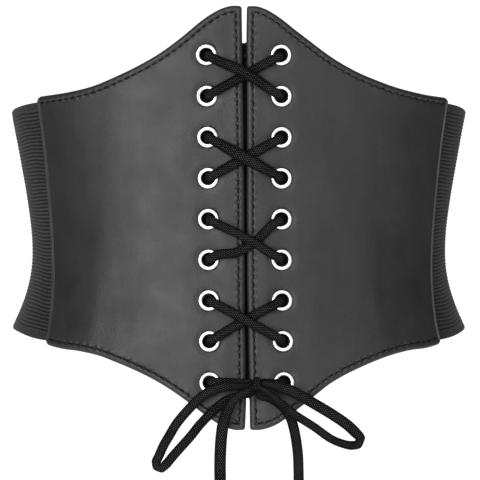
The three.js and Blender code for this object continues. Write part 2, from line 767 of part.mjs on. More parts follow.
// The plain end of a tail, hanging straight down from it.
function tip(name, route) {
  const end = route[route.length - 1];
  const height = end.height - CLEARANCE * 2 - TIP_LENGTH / 2;
  const endRadius = (TIP_WIDTH - TIP_TAPER) / 2;
  const geometry = new THREE.CylinderGeometry(TIP_WIDTH / 2, endRadius, TIP_LENGTH, SMALL_SIDES);
  const mesh = named(name, geometry, braid);
  mesh.position.copy(onBody(end.across, end.height, PANEL_OUTER + end.lift));
  mesh.position.z = height;
  mesh.rotation.x = Math.PI / 2;
  return mesh;
}

const belt = new THREE.Group();
belt.add(panel('left'), panel('right'), elasticBand(), gapStrip());

const eyelets = new THREE.Group();
const ring = eyeletGeometry();
for (const side of ['left', 'right']) {
  for (const row of eyeletRows()) eyelets.add(eyelet(side, row, ring));
}
belt.add(eyelets);

const bow = new THREE.Group();
bow.add(
  lacing(),
  knot(),
  bowStrand('left_loop', LEFT_LOOP, BOW_WIDTH, LOOP_STEPS),
  bowStrand('right_loop', RIGHT_LOOP, BOW_WIDTH, LOOP_STEPS),
  bowStrand('left_tail', LEFT_TAIL, LACE_WIDTH, TAIL_STEPS),
  bowStrand('right_tail', RIGHT_TAIL, BOW_WIDTH, TAIL_STEPS),
  tip('left_tip', LEFT_TAIL),
  tip('right_tip', RIGHT_TAIL),
);
belt.add(bow);

export default belt;
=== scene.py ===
"""The looks of a lace-up corset belt of black faux leather, in metres. +Z is up, the front faces
-Y and +X is to the right. The origin is the middle of the waist section."""

import math

import bpy
import numpy as np
from mathutils import Matrix, Vector


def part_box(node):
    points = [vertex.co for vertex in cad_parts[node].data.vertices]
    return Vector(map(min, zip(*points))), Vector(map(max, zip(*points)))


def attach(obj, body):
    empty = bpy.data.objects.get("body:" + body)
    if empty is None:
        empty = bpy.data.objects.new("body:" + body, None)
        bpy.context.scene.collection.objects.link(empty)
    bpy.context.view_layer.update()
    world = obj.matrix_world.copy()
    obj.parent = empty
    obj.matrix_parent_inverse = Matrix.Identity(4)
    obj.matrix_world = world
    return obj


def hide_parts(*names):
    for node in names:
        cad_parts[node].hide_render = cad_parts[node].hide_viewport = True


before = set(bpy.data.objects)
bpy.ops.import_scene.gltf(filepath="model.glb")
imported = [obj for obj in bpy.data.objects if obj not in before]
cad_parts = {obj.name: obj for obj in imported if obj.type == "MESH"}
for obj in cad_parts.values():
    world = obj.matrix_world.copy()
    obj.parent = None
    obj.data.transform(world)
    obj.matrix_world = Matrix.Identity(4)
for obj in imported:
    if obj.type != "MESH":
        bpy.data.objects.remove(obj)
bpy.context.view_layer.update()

BODY = "root"

# The body section: a rounded oval, measured over the elastic band's outer face
WAIST_WIDTH = 0.218
WAIST_DEPTH = 0.164
SECTION_POWER = 2.4
TOP_WIDTH = 0.241
TOP_DEPTH = 0.170
TOP_WIDTH_EASE = 0.29
TOP_DEPTH_EASE = 0.39
HIP_WIDTH = 0.245
HIP_DEPTH = 0.170
HIP_WIDTH_EASE = 2
HIP_DEPTH_EASE = 0.9

# The two front panels
PANEL_THICKNESS = 0.0022
FRONT_RISE = 0.122
FRONT_DROP = 0.0873
SIDE_RISE = 0.079
SIDE_DROP = 0.0465
PANEL_REACH = 0.112
FRONT_GAP = 0.0027
FRONT_CORNER = 0.0013
SIDE_CORNER = 0.0035
PANEL_INNER = 0.0003
PANEL_OUTER = PANEL_INNER + PANEL_THICKNESS

# The elastic band
BAND_THICKNESS = 0.0015
BAND_TOP_INSET = 0.0025
BAND_BOTTOM_INSET = 0.002
BAND_RISE = SIDE_RISE - BAND_TOP_INSET
BAND_DROP = SIDE_DROP - BAND_BOTTOM_INSET
BAND_LAP = 0.012
RIB_PITCH = 0.0019
RIB_DEPTH = 0.00042
SELVAGE = 0.0036
YARN_PITCH = 0.00085

# The lace
LACE_WIDTH = 0.0056
LACE_THICKNESS = 0.0026
BOW_WIDTH = 0.0051
TAIL_WIDTH = 0.0058
BRAID_CELLS = 12
BRAID_PITCH = 0.0017
BRAID_RELIEF = 0.00022
FOLDS = 4.0
TIP_LENGTH = 0.009
TIP_WIDTH = 0.0042
KNOT_WIDTH = 0.0048
KNOT_HEIGHT = 0.0066
KNOT_DEPTH = 0.0084
KNOT_ROUNDNESS = 2.3
KNOT_THICKNESS = 0.9 * LACE_THICKNESS
KNOT_LEAN = 0.12

# The eyelets
EYELET_ROWS = 9
TOP_ROW = 0.098
LAST_ROW = -0.0643
EYELET_INSET = {"left": 0.0178, "right": 0.017}
EYELET_HOLE = 0.0065
EYELET_WIDTH = 0.0104
EYELET_CUT = 0.0044
FLANGE_TOP = 0.0039
BACK_FLANGE_FOOT = -0.0008

# The strip behind the lacing
STRIP_THICKNESS = 0.0012
STRIP_WIDTH = 0.0527
STRIP_ABOVE_ROWS = 0.0055
STRIP_BELOW_ROWS = 0.0065
STRIP_TOP = TOP_ROW + STRIP_ABOVE_ROWS
STRIP_BOTTOM = LAST_ROW - STRIP_BELOW_ROWS
WEFT_PITCH = 0.0011
WARP_PITCH = 0.0016

# The stitching
STITCH_INSET = 0.00305
STITCH_LENGTH = 0.0039
THREAD_WIDTH = 0.00068
STITCH_SLANT = 0.00021
UNEVEN_SLANT = 0.00012
PUCKER_REACH = 0.0012

# Layers of the lace, as distances out from the body section
LACE_ON_PANEL = 0.0041
LACE_ON_FLANGE = 0.0055
LACE_ON_LACE = 0.0070
LACE_BEHIND = -0.0024
STRIP_OUTER = -0.004

# The panels' outlines. across is the share of the way from the front edge to the side edge,
# and left and right are the shares of the height from the side corner to the front.
TOP_OUTLINE = {
    "across": (0, 0.05, 0.1, 0.16, 0.2, 0.27, 0.35, 0.42, 0.5, 0.58, 0.67, 0.76, 0.86, 1),
    "left": (1, 1, 0.96, 0.872, 0.795, 0.648, 0.497, 0.388, 0.284, 0.195, 0.109, 0.057, 0.024, 0),
    "right": (
        1, 0.994, 0.944, 0.844, 0.762, 0.627, 0.474, 0.359, 0.255, 0.176, 0.104, 0.055, 0.02, 0),
}
BOTTOM_OUTLINE = {
    "across": (0, 0.05, 0.1, 0.15, 0.2, 0.3, 0.38, 0.46, 0.54, 0.62, 0.7, 0.8, 0.9, 1),
    "left": (1, 0.998, 0.962, 0.893, 0.805, 0.616, 0.478, 0.364, 0.27, 0.19, 0.12, 0.071, 0.046, 0),
    "right": (1, 0.999, 0.968, 0.905, 0.812, 0.62, 0.465, 0.35, 0.26, 0.182, 0.12, 0.068, 0.047, 0),
}
# The front edges from the lowest point to the highest, as shares of the front gap
FRONT_EDGES = {
    "height": (-1, -0.9, -0.82, -0.7, -0.55, -0.25, 0.2, 0.6, 0.85, 1),
    "left": (-0.33, -0.14, -0.06, -0.12, -0.13, -0.2, -0.3, -0.55, -0.74, -0.87),
    "right": (0.6, 0.57, 0.54, 0.5, 0.4, 0.25, 0.16, 0.12, 0, 0.08),
}
# The side edges from the lower corner to the upper, as shares of the panel's reach
SIDE_EDGE = {
    "height": (-1, -0.8, -0.43, 0, 0.3, 0.65, 1),
    "reach": (0.94, 0.934, 0.942, 0.957, 0.967, 0.978, 1),
}
# The band's edges from the panel to the middle of the back, as shares of its rise and drop
BAND_EDGES = {
    "way": (0, 0.07, 0.2, 0.5, 1),
    "rise": (1, 0.995, 0.97, 0.93, 0.9),
    "drop": (1, 0.985, 0.9, 0.83, 0.8),
}

# The bow's strands: across the front, height, and lift from the panels' outer face. Each begins,
# and each loop ends, inside the knot.
LEFT_LOOP = (
    (0.0042, -0.0657, 0.0045), (0.0019, -0.066, 0.0045), (-0.0065, -0.0664, 0.0048),
    (-0.011, -0.0667, 0.0057), (-0.015, -0.0675, 0.006), (-0.0182, -0.069, 0.0058),
    (-0.0214, -0.071, 0.0052), (-0.0255, -0.0747, 0.0044), (-0.0302, -0.0797, 0.0037),
    (-0.0343, -0.0847, 0.0032), (-0.0378, -0.0897, 0.003), (-0.0406, -0.0946, 0.0028),
    (-0.0427, -0.0994, 0.0026), (-0.0441, -0.1026, 0.0025), (-0.0437, -0.1048, 0.0024),
    (-0.0418, -0.1056, 0.0023), (-0.0396, -0.104, 0.0022), (-0.0361, -0.0998, 0.002),
    (-0.0319, -0.095, 0.0019), (-0.0275, -0.09, 0.0018), (-0.0233, -0.0853, 0.0018),
    (-0.019, -0.0807, 0.0017), (-0.0147, -0.0765, 0.0016), (-0.0101, -0.0732, 0.0016),
    (-0.0046, -0.071, 0.0016), (0.0014, -0.0702, 0.0016), (0.0038, -0.0686, 0.003),
)
RIGHT_LOOP = (
    (0.0052, -0.0651, 0.0045), (0.0075, -0.0652, 0.0045), (0.0115, -0.0657, 0.0055),
    (0.0161, -0.0668, 0.006), (0.0204, -0.0684, 0.0057), (0.0245, -0.0704, 0.005),
    (0.0326, -0.0751, 0.004), (0.0408, -0.08, 0.0034), (0.0484, -0.0852, 0.003),
    (0.053, -0.0885, 0.0028), (0.0554, -0.0915, 0.0026), (0.0544, -0.0942, 0.0025),
    (0.0512, -0.0949, 0.0025), (0.0468, -0.094, 0.0026), (0.0408, -0.0914, 0.003),
    (0.0326, -0.0864, 0.0038), (0.0244, -0.0812, 0.0045), (0.0198, -0.0778, 0.0046),
    (0.0158, -0.0744, 0.005), (0.0122, -0.0713, 0.0063), (0.0084, -0.0686, 0.0074),
    (0.0056, -0.067, 0.006),
)
LEFT_TAIL = (
    (0.0034, -0.0672, 0.006), (0.0008, -0.0686, 0.0074), (-0.0032, -0.0706, 0.0075),
    (-0.0069, -0.0738, 0.007), (-0.0092, -0.0774, 0.0058), (-0.0109, -0.0817, 0.0048),
    (-0.012, -0.0864, 0.0046), (-0.0127, -0.0915, 0.0044), (-0.0131, -0.0987, 0.0038),
    (-0.0132, -0.107, 0.0032), (-0.013, -0.116, 0.0028),
)
RIGHT_TAIL = (
    (0.0048, -0.0684, 0.003), (0.0064, -0.0712, 0.0017), (0.0108, -0.0724, 0.0016),
    (0.015, -0.0747, 0.0016), (0.0187, -0.0778, 0.0016), (0.0213, -0.0817, 0.0016),
    (0.0229, -0.0866, 0.0016), (0.0241, -0.0924, 0.0016), (0.0249, -0.099, 0.0017),
    (0.0252, -0.107, 0.0019), (0.0253, -0.116, 0.0021),
)
KNOT = (0.0047, -0.0651, 0.0045)

# The camera: its distance from the belt's axis, its height and how far it stands to the left,
# then the picture's side in pixels, the width that it takes in at that distance, and the column
# of the belt's axis in it
CAMERA_DISTANCE = 1.3
CAMERA_HEIGHT = 0.0064
CAMERA_TURN = math.radians(-2.5)
PICTURE_SIDE = 480
PICTURE_WIDTH = 0.2544
AXIS_COLUMN = 238.6
SENSOR = 36
NEAREST = 0.05
FARTHEST = 50

SIDES = {"left": -1, "right": 1}


def unit(vectors):
    return vectors / np.linalg.norm(vectors, axis=-1, keepdims=True)


def mix(a, b, share):
    return a + (b - a) * share


def smooth_step(value, start, end):
    t = np.clip((value - start) / (end - start), 0, 1)
    return t * t * (3 - 2 * t)


def hump(value, width):
    """A smooth bump of height 1 at value 0."""
    return np.exp(-((value / width) ** 2))


def way_along(points):
    """The way along a line of points to each of them."""
    steps = np.linalg.norm(np.diff(points, axis=0), axis=1)
    return np.concatenate([[0], np.cumsum(steps)])


def at_ways(wanted, way, values):
    """The columns of values at wanted ways, between the ways where they are known."""
    return np.stack([np.interp(wanted, way, column) for column in values.T], -1)


def rounded_box(turn, width, depth, roundness):
    """Points of an oval that fills out its box the more, the higher its roundness."""
    wave = np.stack([np.cos(turn), np.sin(turn)], -1)
    return np.array([width, depth]) / 2 * np.sign(wave) * np.abs(wave) ** (2 / roundness)


def follow(table, key, column, place):
    """A column of a table at places between its rows, on a smooth curve through them."""
    keys = np.array(table[key], float)
    values = np.array(table[column], float)
    slopes = np.empty_like(values)
    slopes[1:-1] = (values[2:] - values[:-2]) / (keys[2:] - keys[:-2])
    slopes[[0, -1]] = np.diff(values)[[0, -1]] / np.diff(keys)[[0, -1]]
    at = np.clip(place, keys[0], keys[-1])
    i = np.clip(np.searchsorted(keys, at) - 1, 0, len(keys) - 2)
    span = keys[i + 1] - keys[i]
    t = (at - keys[i]) / span
    rise = values[i + 1] - values[i]
    start_bend = slopes[i] * span - rise
    end_bend = rise - slopes[i + 1] * span
    return values[i] + rise * t + t * (1 - t) * (start_bend * (1 - t) + end_bend * t)


def opening(share, ease):
    """How far the section has opened at a share of the way from the waist to the band's edge."""
    return (np.hypot(share, ease) - ease) / (math.hypot(1, ease) - ease)


def half_size(height, waist, top, top_ease, hip, hip_ease):
    above = opening(np.maximum(height, 0) / BAND_RISE, top_ease)
    below = opening(np.maximum(-height, 0) / BAND_DROP, hip_ease)
    return (waist + (top - waist) * above + (hip - waist) * below) / 2


def oval(turn, height):
    """The section's point at a turn from the front, as distances sideways and ahead."""
    width = half_size(height, WAIST_WIDTH, TOP_WIDTH, TOP_WIDTH_EASE, HIP_WIDTH, HIP_WIDTH_EASE)
    depth = half_size(height, WAIST_DEPTH, TOP_DEPTH, TOP_DEPTH_EASE, HIP_DEPTH, HIP_DEPTH_EASE)
    across = np.sin(turn) / width
    ahead = np.cos(turn) / depth
    radius = (across ** SECTION_POWER + ahead ** SECTION_POWER) ** (-1 / SECTION_POWER)
    return radius * np.sin(turn), radius * np.cos(turn)


# Quarters of the section at many levels: the length of each, and the turn at each share of it
LEVEL_COUNT = 211
TURN_COUNT = 321
LEVELS = np.linspace(-FRONT_DROP, FRONT_RISE, LEVEL_COUNT)
TURNS = np.linspace(0, math.pi / 2, TURN_COUNT)
SHARES = np.linspace(0, 1, TURN_COUNT)


def measure_quarters():
    lengths = []
    turns = []
    for level in LEVELS:
        way = way_along(np.stack(oval(TURNS, level), -1))
        lengths.append(way[-1])
        turns.append(np.interp(SHARES, way / way[-1], TURNS))
    return np.array(lengths), np.array(turns)


QUARTER_LENGTHS, QUARTER_TURNS = measure_quarters()


def girth(height):
    return 4 * np.interp(height, LEVELS, QUARTER_LENGTHS)


def body_point(around, height):
    """The point of the body section at a height, a way round from the middle of the front."""
    around, height = np.broadcast_arrays(np.asarray(around, float), np.asarray(height, float))
    level = np.clip(height, -FRONT_DROP, FRONT_RISE)
    quarter = girth(level) / 4
    turned = np.mod(around, 4 * quarter)
    on_left = turned > 2 * quarter
    from_front = np.where(on_left, 4 * quarter - turned, turned)
    at_back = from_front > quarter
    share = np.where(at_back, 2 * quarter - from_front, from_front) / quarter
    row = (level - LEVELS[0]) / (LEVELS[1] - LEVELS[0])
    column = share * (TURN_COUNT - 1)
    i = np.clip(row.astype(int), 0, LEVEL_COUNT - 2)
    j = np.clip(column.astype(int), 0, TURN_COUNT - 2)
    lower = mix(QUARTER_TURNS[i, j], QUARTER_TURNS[i, j + 1], column - j)
    upper = mix(QUARTER_TURNS[i + 1, j], QUARTER_TURNS[i + 1, j + 1], column - j)
    x, y = oval(mix(lower, upper, row - i), level)
    return np.stack([np.where(on_left, -x, x), np.where(at_back, y, -y), height], axis=-1)


PROBE = 0.001


def body_axes(around, height):
    """The directions along, up and out of the body at places on it."""
    along = unit(body_point(around + PROBE, height) - body_point(around - PROBE, height))
    slope = body_point(around, height + PROBE) - body_point(around, height - PROBE)
    out = unit(np.cross(along, slope))
    return along, np.cross(out, along), out


def on_body(around, height, distance):
    out = body_axes(around, height)[2]
    return body_point(around, height) + out * np.asarray(distance)[..., None]


def front_edge(side, height):
    share = np.where(height > 0, height / FRONT_RISE, height / FRONT_DROP)
    return FRONT_GAP * follow(FRONT_EDGES, "height", side, share)


def seam(height):
    return (front_edge("left", height) + front_edge("right", height)) / 2


def side_edge(height):
    share = np.where(height > 0, height / SIDE_RISE, height / SIDE_DROP)
    return PANEL_REACH * follow(SIDE_EDGE, "height", "reach", share)


def corner_cut(distance, radius):
    """How much a round corner takes off an edge's height, near the end of the edge."""
    inside = np.clip(radius - distance, 0, radius)
    return radius - np.sqrt(radius ** 2 - inside ** 2)


def panel_edges(side, across, corners=True):
    """The heights of a panel's lower and upper edge at a share of the way across it."""
    rise = follow(TOP_OUTLINE, "across", side, across)
    drop = follow(BOTTOM_OUTLINE, "across", side, across)
    front_cut = corner_cut(across * PANEL_REACH, FRONT_CORNER)
    side_cut = corner_cut((1 - across) * PANEL_REACH, SIDE_CORNER)
    cut = (front_cut + side_cut) if corners else 0
    return cut - mix(SIDE_DROP, FRONT_DROP, drop), mix(SIDE_RISE, FRONT_RISE, rise) - cut


def panel_width(side, height):
    return side_edge(height) - SIDES[side] * front_edge(side, height)


def from_front(side, inwards, height):
    """The way round the body of a place that is a distance inwards from a front edge."""
    return front_edge(side, height) + SIDES[side] * inwards


def eyelet_place(side, row):
    height = mix(TOP_ROW, LAST_ROW, (row - 1) / (EYELET_ROWS - 1))
    return float(from_front(side, EYELET_INSET[side], height)), height


def eyelet_rows():
    return range(1, EYELET_ROWS + 1)


# Meshes

def make_object(name, points, face_groups, materials, cells=None):
    """An object with these points and faces. Each group of faces is an array, a face to a row.
    cells gives each corner of each face its place on the lace, for the braid's material."""
    mesh = bpy.data.meshes.new(name)
    corners = np.concatenate([group.ravel() for group in face_groups]).astype(np.int32)
    sizes = np.concatenate([np.full(len(group), group.shape[1]) for group in face_groups])
    starts = np.concatenate([[0], np.cumsum(sizes)[:-1]]).astype(np.int32)
    mesh.vertices.add(len(points))
    mesh.vertices.foreach_set("co", np.asarray(points, np.float32).ravel())
    mesh.loops.add(len(corners))
    mesh.loops.foreach_set("vertex_index", corners)
    mesh.polygons.add(len(starts))
    mesh.polygons.foreach_set("loop_start", starts)
    mesh.update(calc_edges=True)
    if cells is not None:
        layer = mesh.uv_layers.new(name="lace_cells")
        layer.uv.foreach_set("vector", np.asarray(cells, np.float32).ravel())
    mesh.validate()
    mesh.shade_smooth()
    for material in materials:
        mesh.materials.append(material)
    made = bpy.data.objects.new(name, mesh)
    bpy.context.scene.collection.objects.link(made)
    return made


def store(made, name, values):
    """Keeps a number for each point of a mesh, which its material reads."""
    attribute = made.data.attributes.new(name, "FLOAT", "POINT")
    attribute.data.foreach_set("value", np.asarray(values, np.float32))


def squares_of(index, keep=None):
    """The squares of a grid of point numbers, or those of them that keep marks."""
    squares = np.stack([index[:-1, :-1], index[:-1, 1:], index[1:, 1:], index[1:, :-1]], -1)
    return squares.reshape(-1, 4) if keep is None else squares[keep]


def shell(name, outer, inner, materials, stored, keep=None):
    """A closed wall between two grids of points, with rows from below to above and columns from
    left to right, seen from outside. stored has the numbers that its points keep, and keep marks
    the squares of the grid that are there. Returns the object and the number of outer faces."""
    rows, columns = outer.shape[:2]
    count = rows * columns
    squares = squares_of(np.arange(count).reshape(rows, columns), keep)
    starts = squares.ravel()
    ends = np.roll(squares, -1, axis=1).ravel()
    rim = ~np.isin(starts * count + ends, ends * count + starts)
    a, b = starts[rim], ends[rim]
    walls = np.stack([b, a, a + count, b + count], axis=-1)
    faces = np.concatenate([squares, squares[:, ::-1] + count, walls])
    used, faces_used = np.unique(faces, return_inverse=True)
    points = np.concatenate([outer.reshape(-1, 3), inner.reshape(-1, 3)])[used]
    made = make_object(name, points, [faces_used.reshape(-1, 4)], materials)
    for key, values in stored.items():
        store(made, key, values.ravel()[used % count])
    return made, len(squares)


def tube(rings, start, end):
    """The points, squares and end triangles of a closed tube through rings of points, with a
    middle point at each end."""
    count, sides = rings.shape[:2]
    index = np.arange(count * sides).reshape(count, sides)
    after = np.roll(index, -1, axis=1)
    squares = np.stack([index[:-1], after[:-1], after[1:], index[1:]], -1).reshape(-1, 4)
    first = np.full(sides, count * sides)
    first_cap = np.stack([first, after[0], index[0]], -1)
    last_cap = np.stack([first + 1, index[-1], after[-1]], -1)
    points = np.concatenate([rings.reshape(-1, 3), [start, end]])
    return points, squares, np.concatenate([first_cap, last_cap])


def lathe(name, profile, sides, materials):
    """A closed outline of (radius, height), turned round the Z axis."""
    turn = np.linspace(0, 2 * math.pi, sides, endpoint=False)
    radius, height = np.array(profile, float).T
    ring = np.stack([np.cos(turn), np.sin(turn)], axis=-1)
    points = np.zeros((sides, len(profile), 3))
    points[..., :2] = ring[:, None] * radius[None, :, None]
    points[..., 2] = height
    index = np.arange(sides * len(profile)).reshape(sides, len(profile))
    beside = np.roll(index, -1, axis=0)
    above = np.roll(index, -1, axis=1)
    corner = np.roll(beside, -1, axis=1)
    quads = np.stack([index, beside, corner, above], -1).reshape(-1, 4)
    return make_object(name, points.reshape(-1, 3), [quads], materials)


# Steps of a line shorter than this are left out, and so many places are measured in one go.
SHORTEST_STEP = 1e-7
AT_ONCE = 4000


def lies_on_line(places, line):
    """The distance from each flat place to a line of short straight steps, and the way along
    the line to the nearest point of it."""
    steps = np.diff(line, axis=0)
    lengths = np.linalg.norm(steps, axis=1)
    real = lengths > SHORTEST_STEP
    starts, steps, lengths = line[:-1][real], steps[real], lengths[real]
    ways = np.concatenate([[0], np.cumsum(lengths)[:-1]])
    distance = np.empty(len(places))
    along = np.empty(len(places))
    for i in range(0, len(places), AT_ONCE):
        offset = places[i:i + AT_ONCE, None] - starts
        share = np.clip((offset * steps).sum(-1) / (lengths ** 2), 0, 1)
        away = np.linalg.norm(offset - share[..., None] * steps, axis=-1)
        nearest = away.argmin(axis=1)
        chosen = np.arange(len(away)), nearest
        distance[i:i + AT_ONCE] = away[chosen]
        along[i:i + AT_ONCE] = ways[nearest] + share[chosen] * lengths[nearest]
    return distance, along


# Materials

class Finish:
    """A material, with short calls for its nodes."""

    def __init__(self, name, **sockets):
        self.material = bpy.data.materials.new(name)
        self.material.use_nodes = True
        self.tree = self.material.node_tree
        self.shader = self.tree.nodes["Principled BSDF"]
        for socket, value in sockets.items():
            self.shader.inputs[socket.replace("_", " ")].default_value = value

    def node(self, kind, inputs=None, **settings):
        made = self.tree.nodes.new(kind)
        for key, value in settings.items():
            setattr(made, key, value)
        for socket, value in (inputs or {}).items():
            self.give(made.inputs[socket], value)
        return made

    def give(self, socket, value):
        if isinstance(value, bpy.types.NodeSocket):
            self.tree.links.new(value, socket)
        else:
            socket.default_value = value

    def place(self, stretch=(1, 1, 1)):
        """The place on the object, stretched along its axes."""
        coordinates = self.node("ShaderNodeTexCoord").outputs["Object"]
        mapping = self.node("ShaderNodeMapping", {"Vector": coordinates, "Scale": stretch})
        return mapping.outputs["Vector"]

    def stored(self, name):
        return self.node("ShaderNodeAttribute", attribute_name=name).outputs["Fac"]

    def turns(self, name, pitch):
        """A stored length as an angle, a full turn for each pitch."""
        return self.times(self.stored(name), 2 * math.pi / pitch)

    def math(self, operation, a, b=0.0, c=0.0):
        made = self.node("ShaderNodeMath", {0: a, 1: b, 2: c}, operation=operation)
        return made.outputs[0]

    def times(self, a, b):
        return self.math("MULTIPLY", a, b)

    def either(self, share, a, b):
        """a where the share is 0 and b where it is 1."""
        made = self.node("ShaderNodeMix", data_type="FLOAT")
        for socket, value in zip(made.inputs, (share, None, a, b)):
            if value is not None:
                self.give(socket, value)
        return made.outputs[0]

    def noise(self, scale, detail=2.0, roughness=0.5, stretch=(1, 1, 1)):
        made = self.node("ShaderNodeTexNoise", {
            "Vector": self.place(stretch), "Scale": scale, "Detail": detail,
            "Roughness": roughness})
        return made.outputs["Fac"]

    def cells(self, scale):
        made = self.node("ShaderNodeTexVoronoi", {"Vector": self.place(), "Scale": scale})
        return made.outputs["Distance"]

    def ranged(self, value, low, high, start=0.0, end=1.0):
        made = self.node("ShaderNodeMapRange", {
            "Value": value, "From Min": start, "From Max": end, "To Min": low, "To Max": high})
        return made.outputs["Result"]

    def greys(self, share, dark, light):
        """A grey by its brightness, dark where the share is 0 and light where it is 1."""
        made = self.node("ShaderNodeMix", data_type="RGBA")
        self.give(made.inputs["Factor"], share)
        colour_inputs = [i for i in made.inputs if i.type == "RGBA"]
        for socket, value in zip(colour_inputs, (dark, light)):
            socket.default_value = (value, value, value, 1)
        return [o for o in made.outputs if o.type == "RGBA"][0]

    def bump(self, height, distance, strength, under=None):
        made = self.node("ShaderNodeBump", {
            "Height": height, "Distance": distance, "Strength": strength})
        if under:
            self.give(made.inputs["Normal"], under)
        return made.outputs["Normal"]

    def looks(self, colour, roughness, normal):
        """Gives the material its colour, roughness and relief, and returns it."""
        for socket, value in (("Base Color", colour), ("Roughness", roughness), ("Normal", normal)):
            self.give(self.shader.inputs[socket], value)
        return self.material


def leather():
    f = Finish("faux_leather", Specular_IOR_Level=0.4)
    clouds = f.noise(24, 4, 0.6)
    specks = f.noise(420, 2, 0.6)
    tone = f.math("ADD", f.times(clouds, 0.75), f.times(specks, 0.25))
    strip = f.stored("side_strip")
    light = f.times(f.ranged(tone, 0, 1, 0.35, 0.65), f.either(strip, 1.0, 0.2))
    colour = f.greys(light, 0.014, 0.022)
    worn = f.ranged(f.noise(60, 3, 0.6), 0.39, 0.51, 0.32, 0.68)
    roughness = f.either(strip, worn, 0.8)
    pebbles = f.math("SUBTRACT", 1.0, f.cells(1500))
    creases = f.noise(190, 3, 0.55)
    grain = f.math("ADD", f.times(pebbles, 0.6), f.times(creases, 0.9))
    dents = f.bump(f.noise(36, 2, 0.5, (1, 1, 0.3)), 0.0018, 0.8)
    rough_strip = f.bump(f.times(strip, f.noise(520, 2, 0.6)), 0.0009, 0.8, dents)
    fine = f.bump(grain, 0.00016, 0.5, rough_strip)
    near = f.math("DIVIDE", f.stored("stitch_off"), PUCKER_REACH)
    fade = f.math("EXPONENT", f.times(f.times(near, near), -1.0))
    turns = f.turns("stitch_along", STITCH_LENGTH)
    wander = f.times(f.noise(260, 2, 0.6), 5.0)
    uneven = f.ranged(f.noise(150, 2, 0.5), 0.3, 1.5, 0.35, 0.65)
    waves = f.times(f.math("COSINE", f.math("ADD", turns, wander)), uneven)
    pucker = f.times(waves, fade)
    normal = f.bump(pucker, 0.0002, 1.0, fine)
    return f.looks(colour, roughness, normal)


def lining():
    f = Finish("panel_lining", Specular_IOR_Level=0.2, Sheen_Weight=0.15)
    weave = f.noise(1300, 2, 0.6)
    colour = f.greys(weave, 0.012, 0.028)
    roughness = f.ranged(f.noise(200), 0.8, 0.95)
    return f.looks(colour, roughness, f.bump(weave, 0.0003, 0.5))


def ribbed_elastic():
    f = Finish("ribbed_elastic", Specular_IOR_Level=0.12, Sheen_Weight=0.03)
    crest = f.stored("crest")
    wander = f.times(f.noise(380, 2, 0.6), 5.0)
    phase = f.math("ADD", f.turns("along", YARN_PITCH), wander)
    yarn = f.times(f.math("SINE", phase), crest)
    speck = f.noise(1300, 3, 0.7)
    fibres = f.ranged(speck, 0.1, 1.5, 0.34, 0.66)
    # Painted shade and light: the ribs' colour is near black in the grooves between them and
    # lighter on their crests, with fibre specks.
    light = f.times(f.math("POWER", crest, 1.3), fibres)
    colour = f.greys(light, 0.005, 0.054)
    roughness = f.ranged(speck, 0.72, 0.9)
    normal = f.bump(yarn, 0.00012, 0.6, f.bump(speck, 0.00025, 0.7))
    return f.looks(colour, roughness, normal)


def webbing():
    f = Finish("strip_webbing", Specular_IOR_Level=0.2)
    rows = f.math("SINE", f.turns("up", WEFT_PITCH))
    columns = f.math("SINE", f.turns("along", WARP_PITCH))
    weave = f.times(rows, columns)
    colour = f.greys(f.ranged(weave, 0, 1, -1, 1), 0.004, 0.012)
    roughness = f.ranged(f.noise(500), 0.8, 0.95)
    return f.looks(colour, roughness, f.bump(weave, 0.0002, 0.8))


def braid():
    """Black strands that cross each other in diamonds, as in braid_relief. Its colour has painted
    highlights on the strands' crests and painted shade along the lace's narrow sides and in its
    folds.
    """
    f = Finish("lace_braid", Specular_IOR_Level=0.05)
    place = f.node("ShaderNodeUVMap", uv_map="lace_cells").outputs["UV"]
    parts = f.node("ShaderNodeSeparateXYZ", {"Vector": place})
    u, v = parts.outputs["X"], parts.outputs["Y"]
    a, b = f.math("ADD", u, v), f.math("SUBTRACT", u, v)
    count = f.math("ADD", f.math("FLOOR", a), f.math("FLOOR", b))
    over = f.math("FLOORED_MODULO", count, 2.0)
    in_a, in_b = f.math("FRACT", a), f.math("FRACT", b)
    across = f.either(over, in_a, in_b)
    down = f.either(over, in_b, in_a)
    hill = f.math("SINE", f.times(across, math.pi))
    arch = f.math("SINE", f.times(down, math.pi))
    crest = f.times(hill, f.math("MULTIPLY_ADD", arch, 0.5, 0.5))
    fibres = f.noise(2600, 2, 0.6)
    # Painted highlights: the strands' crests are coloured light grey, up to 0.16, in patches of
    # fibre, on a near black lace.
    painted_crest_highlights = f.times(f.math("POWER", crest, 8.0), f.ranged(fibres, 0.3, 1.4, 0.3, 0.7))
    half_turn = f.times(u, 2 * math.pi / BRAID_CELLS)
    # Painted shade: the colour darkens towards the lace's narrow sides, where its section turns
    # away.
    on_face = f.math("POWER", f.math("ABSOLUTE", f.math("SINE", half_turn)), 1.3)
    # Painted shade in lengthwise folds, in patches where folded is high; the folds are bumped as
    # well.
    quick_turn = f.math("SINE", f.times(half_turn, FOLDS))
    folds = f.math("POWER", f.math("ABSOLUTE", quick_turn), 0.6)
    folded = f.ranged(f.noise(70, 2, 0.5), 0.0, 1.0, 0.5, 0.62)
    shade = f.times(on_face, f.either(folded, 1.0, folds))
    colour = f.greys(f.times(painted_crest_highlights, shade), 0.0012, 0.16)
    roughness = f.ranged(fibres, 0.6, 0.8)
    creased = f.bump(f.times(folded, folds), 0.0005, 0.6, f.bump(fibres, 0.00012, 0.4))
    normal = f.bump(crest, 0.0004, 0.8, creased)
    return f.looks(colour, roughness, normal)


def nickel():
    f = Finish("polished_nickel", Metallic=1.0)
    wear = f.noise(700, 3, 0.6)
    colour = f.greys(wear, 0.86, 0.96)
    roughness = f.ranged(wear, 0.3, 0.4, 0.3, 0.7)
    return f.looks(colour, roughness, f.bump(wear, 0.00004, 0.3))


